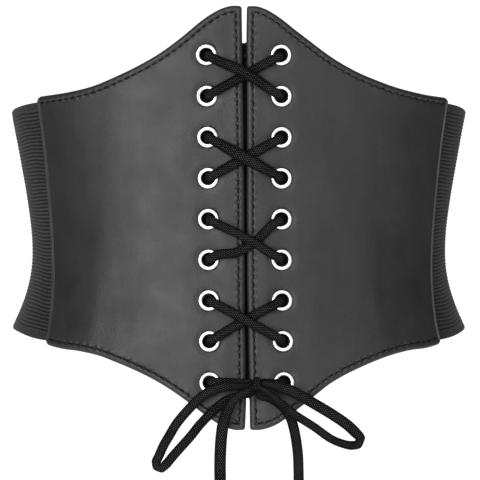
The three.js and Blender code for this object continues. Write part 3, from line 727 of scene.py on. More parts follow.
def thread():
    f = Finish("sewing_thread", Specular_IOR_Level=0.12)
    twist = f.noise(3000, 2, 0.6)
    colour = f.greys(twist, 0.0015, 0.004)
    roughness = f.ranged(twist, 0.7, 0.9)
    return f.looks(colour, roughness, f.bump(twist, 0.0001, 0.6))


def tip_plastic():
    f = Finish("tip_plastic", Specular_IOR_Level=0.5)
    wear = f.noise(500, 3, 0.6)
    colour = f.greys(wear, 0.006, 0.012)
    roughness = f.ranged(wear, 0.22, 0.38)
    return f.looks(colour, roughness, f.bump(wear, 0.00005, 0.4))


LEATHER = leather()
LINING = lining()
ELASTIC = ribbed_elastic()
WEBBING = webbing()
BRAID = braid()
NICKEL = nickel()
THREAD = thread()
PLASTIC = tip_plastic()


def finish_piece(made, slot, *nodes):
    """The piece stands for CAD nodes, which it hides, and moves with the belt. slot is not used."""
    if nodes:
        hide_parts(*nodes)
    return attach(made, BODY)


# Camera

def make_camera():
    data = bpy.data.cameras.new("camera")
    data.sensor_width = SENSOR
    data.lens = SENSOR * CAMERA_DISTANCE / PICTURE_WIDTH
    data.shift_x = (PICTURE_SIDE / 2 - AXIS_COLUMN) / PICTURE_SIDE
    data.clip_start = NEAREST
    data.clip_end = FARTHEST
    camera = bpy.data.objects.new("camera", data)
    away = CAMERA_DISTANCE * math.sin(CAMERA_TURN), -CAMERA_DISTANCE * math.cos(CAMERA_TURN)
    camera.location = (*away, CAMERA_HEIGHT)
    camera.rotation_euler = (math.pi / 2, 0, CAMERA_TURN)
    bpy.context.scene.collection.objects.link(camera)
    bpy.context.scene.camera = camera


make_camera()


# The lace

CURVE_STEPS = 60


def curve_through(points, values, step):
    """A centripetal Catmull-Rom curve through points, with a value at each, in even steps.
    Returns its points, its directions and its values."""
    points = np.asarray(points, float)
    ahead = 2 * points[-1] - points[-2]
    behind = 2 * points[0] - points[1]
    all_points = np.concatenate([[behind], points, [ahead]])
    gaps = np.sqrt(np.linalg.norm(np.diff(all_points, axis=0), axis=1))[:, None]
    p0, p1, p2, p3 = (all_points[i:len(all_points) - 3 + i] for i in range(4))
    g0, g1, g2 = (gaps[i:len(gaps) - 2 + i] for i in range(3))
    leave = ((p1 - p0) / g0 - (p2 - p0) / (g0 + g1) + (p2 - p1) / g1) * g1
    arrive = ((p2 - p1) / g1 - (p3 - p1) / (g1 + g2) + (p3 - p2) / g2) * g1
    t = np.linspace(0, 1, CURVE_STEPS, endpoint=False)[None, :, None]
    bend = -3 * p1 + 3 * p2 - 2 * leave - arrive
    twist = 2 * p1 - 2 * p2 + leave + arrive
    fine = p1[:, None] + leave[:, None] * t + bend[:, None] * t ** 2 + twist[:, None] * t ** 3
    fine = np.concatenate([fine.reshape(-1, 3), points[-1:]])
    values = np.asarray(values, float)
    fine_values = mix(values[:-1, None], values[1:, None], t).reshape(-1, values.shape[1])
    fine_values = np.concatenate([fine_values, values[-1:]])
    way = way_along(fine)
    even = np.linspace(0, way[-1], max(2, round(way[-1] / step) + 1))
    centres = at_ways(even, way, fine)
    return centres, unit(np.gradient(centres, axis=0)), at_ways(even, way, fine_values), even


LACE_SIDES = 48
LACE_STEP = 0.00036
LACE_ROUNDNESS = 2.7
OUTLINE_STEPS = 1441


def lace_outline(width, thickness):
    """The lace's section: a flat oval, as points in even steps with their outward directions."""
    turn = np.linspace(0, 2 * math.pi, OUTLINE_STEPS)
    fine = rounded_box(turn, width, thickness, LACE_ROUNDNESS)
    way = way_along(fine)
    points = at_ways(np.linspace(0, way[-1], LACE_SIDES, endpoint=False), way, fine)
    step = np.roll(points, -1, axis=0) - np.roll(points, 1, axis=0)
    return points, unit(np.stack([step[:, 1], -step[:, 0]], -1))


def braid_relief(around, along):
    """The height of a braid's strands, from 0 to 1. around counts the cells round the lace and
    along the cells down it. Each diamond of the braid shows one strand that runs across it."""
    a = around + along
    b = around - along
    over = (np.floor(a) + np.floor(b)) % 2 == 0
    across = np.where(over, a, b) % 1
    down = np.where(over, b, a) % 1
    return np.sin(math.pi * across) ** 0.8 * (0.55 + 0.45 * np.sin(math.pi * down))


def lace_cells(rows):
    """The place in the braid of each corner of a lace's faces. rows has the braid's row at each
    ring. The ends have the middle of a strand."""
    u = np.arange(LACE_SIDES) * BRAID_CELLS / LACE_SIDES
    u_after = u + BRAID_CELLS / LACE_SIDES
    u = np.stack([u, u_after, u_after, u], -1)
    v = np.stack([rows[:-1], rows[:-1], rows[1:], rows[1:]], -1)
    whole = (len(rows) - 1, LACE_SIDES, 4)
    places = np.stack([np.broadcast_to(u, whole), np.broadcast_to(v[:, None], whole)], -1)
    return np.concatenate([places.reshape(-1, 2), np.full((2 * LACE_SIDES * 3, 2), 0.5)])


def braided_lace(name, points, widths, width, shape=None):
    """A flat braided lace along points, with the direction of its width at each, as long as the
    share of the width there. shape gives more shares, of the width and of the thickness, at ways
    along it."""
    centres, ahead, across, way = curve_through(points, widths, LACE_STEP)
    share = np.linalg.norm(across, axis=-1)
    across = unit(across - (across * ahead).sum(-1, keepdims=True) * ahead)
    out = np.cross(ahead, across)
    outline, outward = lace_outline(width, LACE_THICKNESS)
    around = np.arange(LACE_SIDES) * BRAID_CELLS / LACE_SIDES
    crest = braid_relief(around[None, :], (way / BRAID_PITCH)[:, None])
    lift = (crest - 0.75) * BRAID_RELIEF
    flat = outline[None] + outward[None] * lift[..., None]
    flat = flat * np.stack([share, np.ones_like(share)], axis=-1)[:, None]
    if shape is not None:
        flat = flat * shape(way, way[-1])[:, None]
    rings = centres[:, None] + across[:, None] * flat[..., :1] + out[:, None] * flat[..., 1:]
    points, *faces = tube(rings, centres[0], centres[-1])
    made = make_object(name, points, faces, [BRAID], lace_cells(way / BRAID_PITCH))
    return made, centres, way[-1]


def bow_strand(name, route, width, shape):
    """A strand of the bow that lies flat to the belt along its route."""
    across, height, lift = np.array(route).T
    points = on_body(across, height, PANEL_OUTER + lift)
    out = body_axes(across, height)[2]
    before = points[np.maximum(np.arange(len(points)) - 1, 0)]
    after = points[np.minimum(np.arange(len(points)) + 1, len(points) - 1)]
    widths = unit(np.cross(out, after - before))
    return braided_lace(name, points, widths, width, shape)


# The lace is squeezed where it meets the knot: its width and thickness there as shares, and how
# far from the knot it begins to be free and is free again.
SQUEEZED = np.array([0.62, 1.15])
SQUEEZED_UNTIL = 0.002
FREE_AFTER = 0.016
# A tail's width and thickness in its tip as shares, and how far from its end it begins to narrow
# and is narrow
IN_TIP = np.array([0.66, 1.2])
TIP_FROM = 0.0042
IN_TIP_FROM = 0.0004
# How much longer a tail takes to be free of the knot
TAIL_EASE = 1.6


def squeezed(from_knot):
    near = 1 - smooth_step(from_knot, SQUEEZED_UNTIL, FREE_AFTER)
    return mix(1, SQUEEZED, near[:, None])


def between_knots(way, length):
    """The lacing, which starts and ends at the knot."""
    return squeezed(np.minimum(way, length - way))


# A loop's width at its start and at its end, as shares, and where along it the one goes over
# into the other
LEFT_LOOP_WIDTHS = (0.94, 0.92, 0.4, 0.5)
RIGHT_LOOP_WIDTHS = (1.08, 0.82, 0.42, 0.6)


def loop_shape(start, end, change_from, change_to):
    """A loop gets thinner where it widens, by as much."""
    def shape(way, length):
        wider = mix(start, end, smooth_step(way / length, change_from, change_to))
        return between_knots(way, length) * np.stack([wider, 1 / wider], axis=-1)
    return shape


def tail_shape(way, length):
    """A tail grows from the knot and narrows again into its tip."""
    near = smooth_step(way, length - TIP_FROM, length - IN_TIP_FROM)
    return squeezed(way / TAIL_EASE) * mix(1, IN_TIP, near[:, None])


# The sleeve on a tail's end: how far it reaches up over the tail, its inmost radius, and its
# outline as shares of its radius at depths below its top
SLEEVE_REACH = 0.0052
SLEEVE_MIDDLE = 0.0002
SLEEVE_SIDES = 40
SLEEVE = (
    (0.8, 0), (0.94, 0.0002), (1, 0.0006), (1, 0.0026), (0.97, 0.0029), (0.97, 0.0033),
    (1, 0.0036), (0.97, 0.01), (0.9, 0.01373), (0.84, SLEEVE_REACH + TIP_LENGTH),
)


def tip_sleeve(name):
    """The plain sleeve on a tail's end, hanging straight down from it."""
    middle = [(SLEEVE_MIDDLE, SLEEVE_REACH), (SLEEVE_MIDDLE, -TIP_LENGTH)]
    side = [(TIP_WIDTH / 2 * share, SLEEVE_REACH - depth) for share, depth in SLEEVE]
    made = lathe(f"{name}_sleeve", [middle[0], *side, middle[1]], SLEEVE_SIDES, [PLASTIC])
    low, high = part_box(name)
    made.location = ((low.x + high.x) / 2, (low.y + high.y) / 2, high.z)
    return finish_piece(made, "tip", name)


def make_bow():
    strands = (
        ("left_loop", LEFT_LOOP, BOW_WIDTH, loop_shape(*LEFT_LOOP_WIDTHS), "object"),
        ("right_loop", RIGHT_LOOP, BOW_WIDTH, loop_shape(*RIGHT_LOOP_WIDTHS), "object"),
        ("left_tail", LEFT_TAIL, TAIL_WIDTH, tail_shape, "fitting"),
        ("right_tail", RIGHT_TAIL, BOW_WIDTH, tail_shape, "fitting"),
    )
    for node, route, width, shape, far_end in strands:
        made, centres, length = bow_strand(f"{node}_braid", route, width, shape)
        finish_piece(made, "braid", node)
        is_tail = far_end == "fitting"
        pieces = [tip_sleeve(node.replace("tail", "tip"))] if is_tail else []


make_bow()


def lacing_stops():
    """The eyelets that the lace passes, in order from the bow up and back down, each with
    whether the link that follows lies outside."""
    rows = [*range(EYELET_ROWS, 0, -1), *range(1, EYELET_ROWS + 1)]
    sides = ["left", "right"]
    stops = []
    for row, following in zip(rows, rows[1:]):
        is_bar = row == following
        upper = 0 if is_bar else min(row, following)
        outside = (upper + EYELET_ROWS) % 2 == 0
        stops.append((sides[0], row, outside))
        if outside or is_bar:
            sides.reverse()
    stops.append((sides[0], EYELET_ROWS, True))
    return stops


# The lace's bend through an eyelet, from the front to the back: how far from the middle of the
# hole, on which side of the panel, and how far out from the body
THROUGH = (
    (EYELET_WIDTH / 2, "front", LACE_ON_FLANGE),
    (LACE_THICKNESS * 1.25, "front", LACE_ON_FLANGE),
    (LACE_THICKNESS * 0.45, "front", FLANGE_TOP + LACE_THICKNESS * 0.32),
    (LACE_THICKNESS * 0.2, "front", (PANEL_INNER + PANEL_OUTER) / 2),
    (LACE_THICKNESS * 0.38, "back", BACK_FLANGE_FOOT - LACE_THICKNESS * 0.27),
    (LACE_THICKNESS * 1.2, "back", LACE_BEHIND),
)
KNOT_SHARES = (0, 0.35)
# Each cross of the lacing by its upper row: how far the middle of the front strand and of the
# strand under it stand above a straight line, and the share of the lace's width that each shows
CROSSES = {
    1: {"front": (0.0012, 1.0), "under": (0, 0.86)},
    3: {"front": (0, 1.08), "under": (0, 0.95)},
    5: {"front": (0.0009, 0.82), "under": (-0.0042, 0.88)},
    7: {"front": (0, 0.88), "under": (0.0004, 0.86)},
}
IN_HOLE = 0.86


def make_lacing():
    points = []
    widths = []

    def add(around, height, distance, width):
        along, up, _ = body_axes(around, height)
        points.append(on_body(around, height, distance))
        widths.append(along * width[0] + up * width[1])

    def link(start, end):
        """The level, direction and width direction of the lace from one stop to the next."""
        step = np.subtract(end["at"], start["at"])
        way = step / np.linalg.norm(step)
        left_of = np.array([-way[1], way[0]])
        to_knot = "row" not in start or "row" not in end
        outside = start.get("outside", True)
        is_bar = not to_knot and start["row"] == end["row"] and not outside
        falls_right = step[0] * step[1] < 0
        level = LACE_ON_LACE if outside and not to_knot and falls_right else LACE_ON_PANEL
        width = -left_of if is_bar else left_of
        return {"outside": outside, "way": way, "width": width,
                "level": level if outside else LACE_BEHIND}

    def through(stop, arriving, leaving):
        """Through one eyelet, from the side where the lace arrives to where it leaves."""
        back_way = {"way": -arriving["way"], "width": arriving["width"]}
        front = back_way if arriving["outside"] else leaving
        back = leaving if arriving["outside"] else back_way
        steps = THROUGH if arriving["outside"] else THROUGH[::-1]
        for away, on, distance in steps:
            chosen = front if on == "front" else back
            place = stop["at"] + chosen["way"] * away
            add(place[0], place[1], distance, chosen["width"] * IN_HOLE)

    def knot_end(stop, shares, width):
        side = KNOT[0] + np.sign(stop["at"][0]) * KNOT_WIDTH / 2
        for share in shares:
            add(mix(side, stop["at"][0], share), stop["at"][1], LACE_ON_PANEL, width)

    knot = {"at": np.array(KNOT[:2])}
    stops = [
        {"at": np.array(eyelet_place(side, row)), "side": side, "row": row, "outside": outside}
        for side, row, outside in lacing_stops()
    ]
    arriving = link(knot, stops[0])
    knot_end(stops[0], KNOT_SHARES, arriving["width"])
    for stop, following in zip(stops, [*stops[1:], knot]):
        leaving = link(stop, following)
        through(stop, arriving, leaving)
        if following is not knot and leaving["outside"]:
            in_front = leaving["level"] == LACE_ON_LACE
            cross = CROSSES[min(stop["row"], following["row"])]
            bow, width_share = cross["front" if in_front else "under"]
            length = np.linalg.norm(following["at"] - stop["at"])
            on_other = LACE_WIDTH / length
            for share in (0.5 - on_other, 0.5, 0.5 + on_other):
                place = mix(stop["at"], following["at"], share)
                lifted = place[1] + bow * 4 * share * (1 - share)
                add(place[0], lifted, leaving["level"], leaving["width"] * width_share)
        arriving = leaving
    knot_end(stops[-1], KNOT_SHARES[::-1], arriving["width"])
    made, _, _ = braided_lace("lacing_braid", points, widths, LACE_WIDTH, between_knots)
    finish_piece(made, "braid", "lacing")


make_lacing()


# The knot's width and thickness at its back and in front, as shares
KNOT_BACK = np.array([0.7, 0.9])
KNOT_FRONT = np.array([1.05, 1.1])
# How much the knot is drawn in at its left and right side, as a share
KNOT_ROUNDING = 0.42
KNOT_POINTS = 59


def knot_shape(way, length):
    """The knot's turn bulges in front and is drawn in behind."""
    front = (0.5 - 0.5 * np.cos(2 * math.pi * way / length)) ** 0.7
    return mix(KNOT_BACK, KNOT_FRONT, front[:, None])


def make_knot():
    """The bow's knot: a turn of the lace round the strands that meet there."""
    across, height, lift = KNOT
    along, up, out = body_axes(across, height)
    middle = on_body(across, height, PANEL_OUTER + lift)
    turn = np.linspace(-math.pi, math.pi, KNOT_POINTS, endpoint=False)
    section = rounded_box(turn, KNOT_DEPTH - KNOT_THICKNESS, KNOT_HEIGHT - KNOT_THICKNESS,
                          KNOT_ROUNDNESS)
    points = middle + section[:, :1] * out + section[:, 1:] * (up + KNOT_LEAN * along)
    widths = np.repeat(-along[None], len(points), axis=0)
    made, _, _ = braided_lace("knot_turn", points, widths, KNOT_WIDTH, knot_shape)
    places = np.empty(len(made.data.vertices) * 3)
    made.data.vertices.foreach_get("co", places)
    axes = np.array([along, up, out])
    places = (places.reshape(-1, 3) - middle) @ axes.T
    from_middle = np.clip(np.abs(places[:, :1]) / (KNOT_WIDTH / 2), 0, 1)
    places[:, 1:] *= 1 - KNOT_ROUNDING * from_middle ** 2
    made.data.vertices.foreach_set("co", (places @ axes + middle).ravel())
    finish_piece(made, "braid", "knot")


make_knot()


# The panels

# Where a panel's rows and columns of points lie: their distances from the edge, their distances
# inwards from the ridge, and outside it the shares of the way from the side edge
NEAR_EDGE = np.array([
    0, 0.00006, 0.0002, 0.0004, 0.0007, 0.001, 0.0014, 0.0018, 0.0022, 0.0025, 0.0028, 0.00305,
    0.0033, 0.0036, 0.004, 0.0046, 0.0054])
NEAR_RIDGE = np.array([
    0.0026, 0.0019, 0.0014, 0.00105, 0.0008, 0.0006, 0.00045, 0.0003, 0.00015, 0, -0.00015,
    -0.0003, -0.00045])
OUTSIDE_RIDGE = np.array([0.75, 0.55, 0.38, 0.24, 0.13, 0.06, 0.02, 0])
PANEL_COLUMNS = 84
PANEL_ROWS = 118
GRID_ROUNDS = 6

# The panel's face near its edge: how far it lies below the flat at distances from the edge
EDGE_ROLL = {
    "from_edge": (0, 0.00006, 0.0002, 0.0004, 0.0007, 0.0011, 0.0016, 0.0021, 0.0026, 0.0045),
    "fall": (0.00105, 0.00086, 0.00064, 0.00042, 0.0002, 0, -0.00014, -0.00018, -0.00012, 0),
}
INNER_ROLL = {
    "from_edge": (0, 0.0001, 0.0003, 0.0006, 0.001, 0.002),
    "fall": (0.0006, 0.00036, 0.00017, 0.00005, 0, 0),
}
GROOVE_DEPTH = 0.0004
GROOVE_WIDTH = 0.00048
RIDGE_HEIGHT = 0.0004
RIDGE_WIDTH = 0.0003
RIDGE_INSET = 0.0031
RIDGE_END_INSET = 0.0017
RIDGE_FADE = (0.0004, 0.0018)
SIDE_GROOVE_DEPTH = 0.00055
SIDE_GROOVE_PLACE = 0.0007
SIDE_STEP = 0.0005
SIDE_STEP_EASE = (-0.0009, -0.0001)
SIDE_STRIP_EASE = (-0.0005, 0)
WAVES_EASE = (0.002, 0.012)
STITCHES_FROM_RIDGE = 0.0006
DIMPLE_DEPTH = 0.0004
DIMPLE_EASE = 0.0026
HEM_WIDTH = 0.006
# The leather's soft waves: the height of each, and how fast its two crossed sines turn round the
# body and up it, and where they start
WAVES = (
    (0.00014, (62, 21, 0.7), (-17, 48, 1.9)),
    (0.00005, (151, -88, 2.1), (61, 133, 0.4)),
)


def ridge_place(height):
    """How far the ridge stands inwards from a panel's side edge."""
    share = np.where(height > 0, height / SIDE_RISE, -height / SIDE_DROP)
    return mix(RIDGE_INSET, RIDGE_END_INSET, np.clip(share, 0, 1) ** 2)


def panel_inwards(side, height):
    """The distance inwards from the front edge of each column of a panel, at heights that have
    the columns as their last axis."""
    share = np.arange(1, PANEL_COLUMNS + 1) / (PANEL_COLUMNS + 1)
    front = np.zeros(len(NEAR_EDGE))
    ridge = np.ones(len(NEAR_RIDGE))
    of_width = np.concatenate([front, share, ridge, np.ones(len(OUTSIDE_RIDGE))])
    of_ridge = np.concatenate([front, share, ridge, OUTSIDE_RIDGE])
    fixed = np.concatenate([
        NEAR_EDGE, mix(NEAR_EDGE[-1], -NEAR_RIDGE[0], share), -NEAR_RIDGE,
        -OUTSIDE_RIDGE * NEAR_RIDGE[-1]])
    return fixed + of_width * panel_width(side, height) - of_ridge * ridge_place(height)


# A small share of the way across a panel, for the slope of its edges
NUDGE = 0.002


def edge_steps(side, across):
    """How far straight up from the lower edge, and straight down from the upper one, a place
    lies for each metre that it lies square to the edge."""
    before, after = (panel_edges(side, np.clip(across + nudge, 0, 1), corners=False)
                     for nudge in (-NUDGE, NUDGE))
    slopes = [(b - a) / (2 * NUDGE * PANEL_REACH) for a, b in zip(before, after)]
    return [np.sqrt(1 + slope ** 2) for slope in slopes]


def panel_grid(side):
    """The flat places of a panel's points: ways round the body and heights. Its columns depend
    on the heights and these on the columns, so they are found in a few rounds."""
    even = np.linspace(0, 1, PANEL_ROWS + 2)[1:-1]
    near = np.zeros(len(NEAR_EDGE))
    share = np.concatenate([near, even, near + 1])[:, None]
    inside = np.full(PANEL_ROWS, NEAR_EDGE[-1])
    inset = np.concatenate([NEAR_EDGE, inside, NEAR_EDGE[::-1]])[:, None]
    columns = len(NEAR_EDGE) + PANEL_COLUMNS + len(NEAR_RIDGE) + len(OUTSIDE_RIDGE)
    across = np.repeat(np.linspace(0, 1, columns)[None], len(share), axis=0)
    for _ in range(GRID_ROUNDS):
        bottom, top = panel_edges(side, across)
        low_step, high_step = edge_steps(side, across)
        height = mix(bottom + inset * low_step, top - inset * high_step, share)
        inwards = panel_inwards(side, height)
        across = np.clip(inwards / panel_width(side, height), 0, 1)
    return from_front(side, inwards, height), height


def panel_outline(side):
    """A panel's flat outline, as a closed line."""
    share = (1 - np.cos(np.linspace(0, math.pi, 260))) / 2
    bottom, top = panel_edges(side, share)

    def at(across, height):
        return np.stack([from_front(side, across * panel_width(side, height), height), height], -1)

    down = np.linspace(top[-1], bottom[-1], 90)
    back_up = np.linspace(bottom[0], top[0], 120)
    return np.concatenate([
        at(share, top), at(np.ones_like(down), down), at(share[::-1], bottom[::-1]),
        at(np.zeros_like(back_up), back_up)])


def stitch_lines(side):
    """The flat lines of a panel's stitching: along the top, the front edge and the bottom."""
    across = np.linspace(0, 1, 400)
    bottom, top = panel_edges(side, across, corners=False)
    low_step, high_step = edge_steps(side, across)
    lines = []
    for lowered in (top - STITCH_INSET * high_step, bottom + STITCH_INSET * low_step):
        inwards = across * panel_width(side, lowered)
        end = panel_width(side, lowered) - ridge_place(lowered) - STITCHES_FROM_RIDGE
        inside = (inwards >= STITCH_INSET) & (inwards <= end)
        start_height = np.interp(STITCH_INSET, inwards, lowered)
        inwards = np.concatenate([[STITCH_INSET], inwards[inside]])
        lowered = np.concatenate([[start_height], lowered[inside]])
        lines.append(np.stack([from_front(side, inwards, lowered), lowered], -1))
    down = np.linspace(lines[0][0, 1], lines[1][0, 1], 200)
    front = np.stack([from_front(side, STITCH_INSET, down), down], -1)
    return lines[0], front, lines[1]


OUTLINES = {side: panel_outline(side) for side in SIDES}
STITCHES = {side: stitch_lines(side) for side in SIDES}


def stitch_place(side, places):
    """The distance of flat places from the nearest stitching, and the way along that."""
    found = [lies_on_line(places, line) for line in STITCHES[side]]
    distances = np.stack([distance for distance, _ in found])
    ways = np.stack([way for _, way in found])
    nearest = distances.argmin(axis=0)
    chosen = nearest, np.arange(len(places))
    return distances[chosen], ways[chosen]


def from_eyelets(side, places):
    """The distance of flat places from the nearest eyelet's middle, and that middle."""
    middles = np.array([eyelet_place(side, row) for row in eyelet_rows()])
    away = np.linalg.norm(places[:, None] - middles, axis=-1)
    nearest = away.argmin(axis=1)
    return away[np.arange(len(places)), nearest], middles[nearest]


def soft_waves(places):
    """The slight unevenness of padded faux leather."""
    around, height = places.T
    total = np.zeros(len(places))
    for wave, *sines in WAVES:
        for along, up, start in sines:
            wave = wave * np.sin(around * along + height * up + start)
        total = total + wave
    return total


def panel_face(side, places):
    """How far a panel's outer face stands out from the body at flat places, the distance and way
    of the stitching there, the distance from the edge, and 1 on the strip outside the ridge."""
    edge, _ = lies_on_line(places, OUTLINES[side])
    stitch, along = stitch_place(side, places)
    eyelet, _ = from_eyelets(side, places)
    around, height = places.T
    from_side = side_edge(height) - SIDES[side] * around
    past_ridge = from_side - ridge_place(height)
    inwards = (around - front_edge(side, height)) * SIDES[side]
    across = np.clip(inwards / panel_width(side, height), 0, 1)
    bottom, top = panel_edges(side, across, corners=False)
    fade = smooth_step(np.minimum(height - bottom, top - height), *RIDGE_FADE)
    ridge = RIDGE_HEIGHT * hump(past_ridge, RIDGE_WIDTH)
    ridge = ridge - SIDE_GROOVE_DEPTH * hump(past_ridge - SIDE_GROOVE_PLACE, RIDGE_WIDTH)
    ridge = ridge - SIDE_STEP * (1 - smooth_step(past_ridge, *SIDE_STEP_EASE))
    rim = EYELET_WIDTH / 2
    rise = PANEL_OUTER - follow(EDGE_ROLL, "from_edge", "fall", edge)
    rise = rise - GROOVE_DEPTH * hump(stitch, GROOVE_WIDTH) + ridge * fade
    rise = rise - DIMPLE_DEPTH * (1 - smooth_step(eyelet, rim, rim + DIMPLE_EASE))
    rise = rise + soft_waves(places) * smooth_step(edge, *WAVES_EASE)
    return rise, stitch, along, edge, 1 - smooth_step(past_ridge, *SIDE_STRIP_EASE)


def make_panel(side):
    around, height = panel_grid(side)
    if side == "left":
        around, height = around[:, ::-1], height[:, ::-1]
    shape = around.shape
    places = np.stack([around.ravel(), height.ravel()], -1)
    eyelet, middles = from_eyelets(side, places)
    moved = middles + unit(places - middles + 1e-9) * EYELET_CUT
    at_hole = eyelet < EYELET_CUT
    grid = places.reshape(*shape, 2)
    centre = (grid[:-1, :-1] + grid[:-1, 1:] + grid[1:, 1:] + grid[1:, :-1]) / 4
    keep = from_eyelets(side, centre.reshape(-1, 2))[0] > EYELET_CUT
    keep = keep.reshape(centre.shape[:2])
    places = np.where(at_hole[:, None], moved, places)
    rise, stitch, along, edge, strip = panel_face(side, places)
    fall = PANEL_INNER + follow(INNER_ROLL, "from_edge", "fall", edge)
    outer = on_body(places[:, 0], places[:, 1], rise).reshape(*shape, 3)
    inner = on_body(places[:, 0], places[:, 1], fall).reshape(*shape, 3)
    stored = {"stitch_off": stitch, "stitch_along": along, "side_strip": strip}
    made, outer_count = shell(
        f"{side}_panel_leather", outer, inner, [LEATHER, LINING], stored, keep)
    corners = np.stack([edge.reshape(shape)[i:shape[0] - 1 + i, j:shape[1] - 1 + j]
                        for i in (0, 1) for j in (0, 1)]).min(axis=0)
    numbers = np.zeros(len(made.data.polygons), np.int32)
    numbers[outer_count:2 * outer_count] = corners[keep] > HEM_WIDTH
    made.data.polygons.foreach_set("material_index", numbers)
    finish_piece(made, "leather", f"{side}_panel")


# How far a stitch rises from its ends and how deep these lie below the face, as shares of the
# thread's width, and how much the stitches differ
STITCH_RISE = 0.95
STITCH_SUNK = 0.75
UNEVEN_RISE = 0.08
UNEVEN_TURN = 2.4
UNEVEN_START = 0.8
STEPS_PER_STITCH = 9
THREAD_SIDES = 8


def make_stitching(side):
    """The thread along a panel's edges, on the face and on the back. It dives into the leather
    at every stitch."""
    turn = np.linspace(0, 2 * math.pi, THREAD_SIDES, endpoint=False)
    points, faces, count = [], [], 0
    for line in STITCHES[side]:
        way = way_along(line)
        stitches = round(way[-1] / STITCH_LENGTH)
        place = np.linspace(0, stitches, stitches * STEPS_PER_STITCH + 1)
        share = place % 1
        dive = np.sin(math.pi * share) ** 0.75
        flat = at_ways(place / stitches * way[-1], way, line)
        ahead = unit(np.gradient(flat, axis=0))
        sideways = np.stack([-ahead[:, 1], ahead[:, 0]], -1)
        number = np.minimum(np.floor(place), stitches - 1)
        uneven = np.sin(number * UNEVEN_TURN + UNEVEN_START)
        slant = STITCH_SLANT + UNEVEN_SLANT * uneven
        flat = flat + sideways * (slant * np.sin(2 * math.pi * (share - 0.25)) * dive)[:, None]
        dive = dive * (1 - UNEVEN_RISE + UNEVEN_RISE * uneven)
        on_face = panel_face(side, flat)[0] + THREAD_WIDTH * (dive * STITCH_RISE - STITCH_SUNK)
        on_back = PANEL_INNER - THREAD_WIDTH * STITCH_SUNK * (dive - 1)
        for level in (on_face, on_back):
            centres = on_body(flat[:, 0], flat[:, 1], level)
            tangent = unit(np.gradient(centres, axis=0))
            beside = unit(np.cross(body_axes(flat[:, 0], flat[:, 1])[2], tangent))
            above = np.cross(tangent, beside)
            ring = beside[:, None] * np.cos(turn)[None, :, None]
            ring = ring + above[:, None] * np.sin(turn)[None, :, None]
            rings = centres[:, None] + ring * (THREAD_WIDTH / 2 * mix(0.5, 1, dive))[:, None, None]
            more_points, *more_faces = tube(rings, centres[0], centres[-1])
            points.append(more_points)
            faces += [group + count for group in more_faces]
            count += len(more_points)
    made = make_object(f"{side}_panel_stitching", np.concatenate(points), faces, [THREAD])
    finish_piece(made, "leather")


for panel_side in SIDES:
    make_panel(panel_side)
    make_stitching(panel_side)


# The elastic band

BAND_COLUMNS = 120
ROWS_PER_RIB = 5
# On the selvage this crest share also sets the elastic's colour, between the painted groove shade
# and crest light.
SELVAGE_CREST = 0.6
BAND_ROLL = 0.0005
BAND_ROLL_REACH = 0.0008
# The ribs' slight wavers: how far each goes, in ribs, and how fast it turns along and up the band
WAVERS = ((0.12, 310, 9), (0.1, 127, -23))


def make_band():
    length = girth(0) - 2 * PANEL_REACH
    way = np.linspace(0, 1, BAND_COLUMNS)
    ribs = round((BAND_RISE + BAND_DROP) / RIB_PITCH)
    up = np.linspace(0, 1, ribs * ROWS_PER_RIB + 1)
    way, up = np.meshgrid(way, up)
    from_panel = 1 - np.abs(1 - 2 * way)
    top = BAND_RISE * follow(BAND_EDGES, "way", "rise", from_panel)
    bottom = -BAND_DROP * follow(BAND_EDGES, "way", "drop", from_panel)
    height = mix(bottom, top, up)
    start = side_edge(height) - BAND_LAP
    around = mix(start, girth(height) - start, way)
    along = way * length
    waver = sum(far * np.sin(along * turn + up * lean) for far, turn, lean in WAVERS)
    phase = (up * ribs + waver) * 2 * math.pi
    from_end = np.minimum(up, 1 - up) * (BAND_RISE + BAND_DROP)
    ribbed = smooth_step(from_end, SELVAGE * 0.8, SELVAGE * 1.2)
    crest = mix(SELVAGE_CREST, 0.5 + 0.5 * np.cos(phase), ribbed)
    fall = RIB_DEPTH * (1 - crest) + BAND_ROLL * (1 - smooth_step(from_end, 0, BAND_ROLL_REACH))
    outer = on_body(around, height, -fall)
    inner = on_body(around, height, fall - BAND_THICKNESS)
    # crest shapes the ribs and also gives the elastic's colour its painted shade in the grooves and
    # light on the crests.
    stored = {"crest": crest, "along": along}
    made, _ = shell("elastic_band_ribbed", outer, inner, [ELASTIC], stored)
    finish_piece(made, "elastic", "elastic_band")


make_band()


# The strip behind the lacing

NOTCH_WIDTH = 0.0013
TOP_NOTCH = 0.0008
LOWER_NOTCH_WIDTH = 0.0016
LOWER_NOTCH = 0.0024
LOWER_REACH = 0.002
TOP_REACH = 0.0012
STRIP_ROLL = 0.0004
STRIP_ROLL_REACH = 0.0012
# The strip's columns as shares of its half width, closer together round its notches
STRIP_COLUMNS = (
    *np.linspace(-1, -0.12, 26), *np.linspace(-0.1, 0.1, 31), *np.linspace(0.12, 1, 26))
STRIP_ROWS = 160


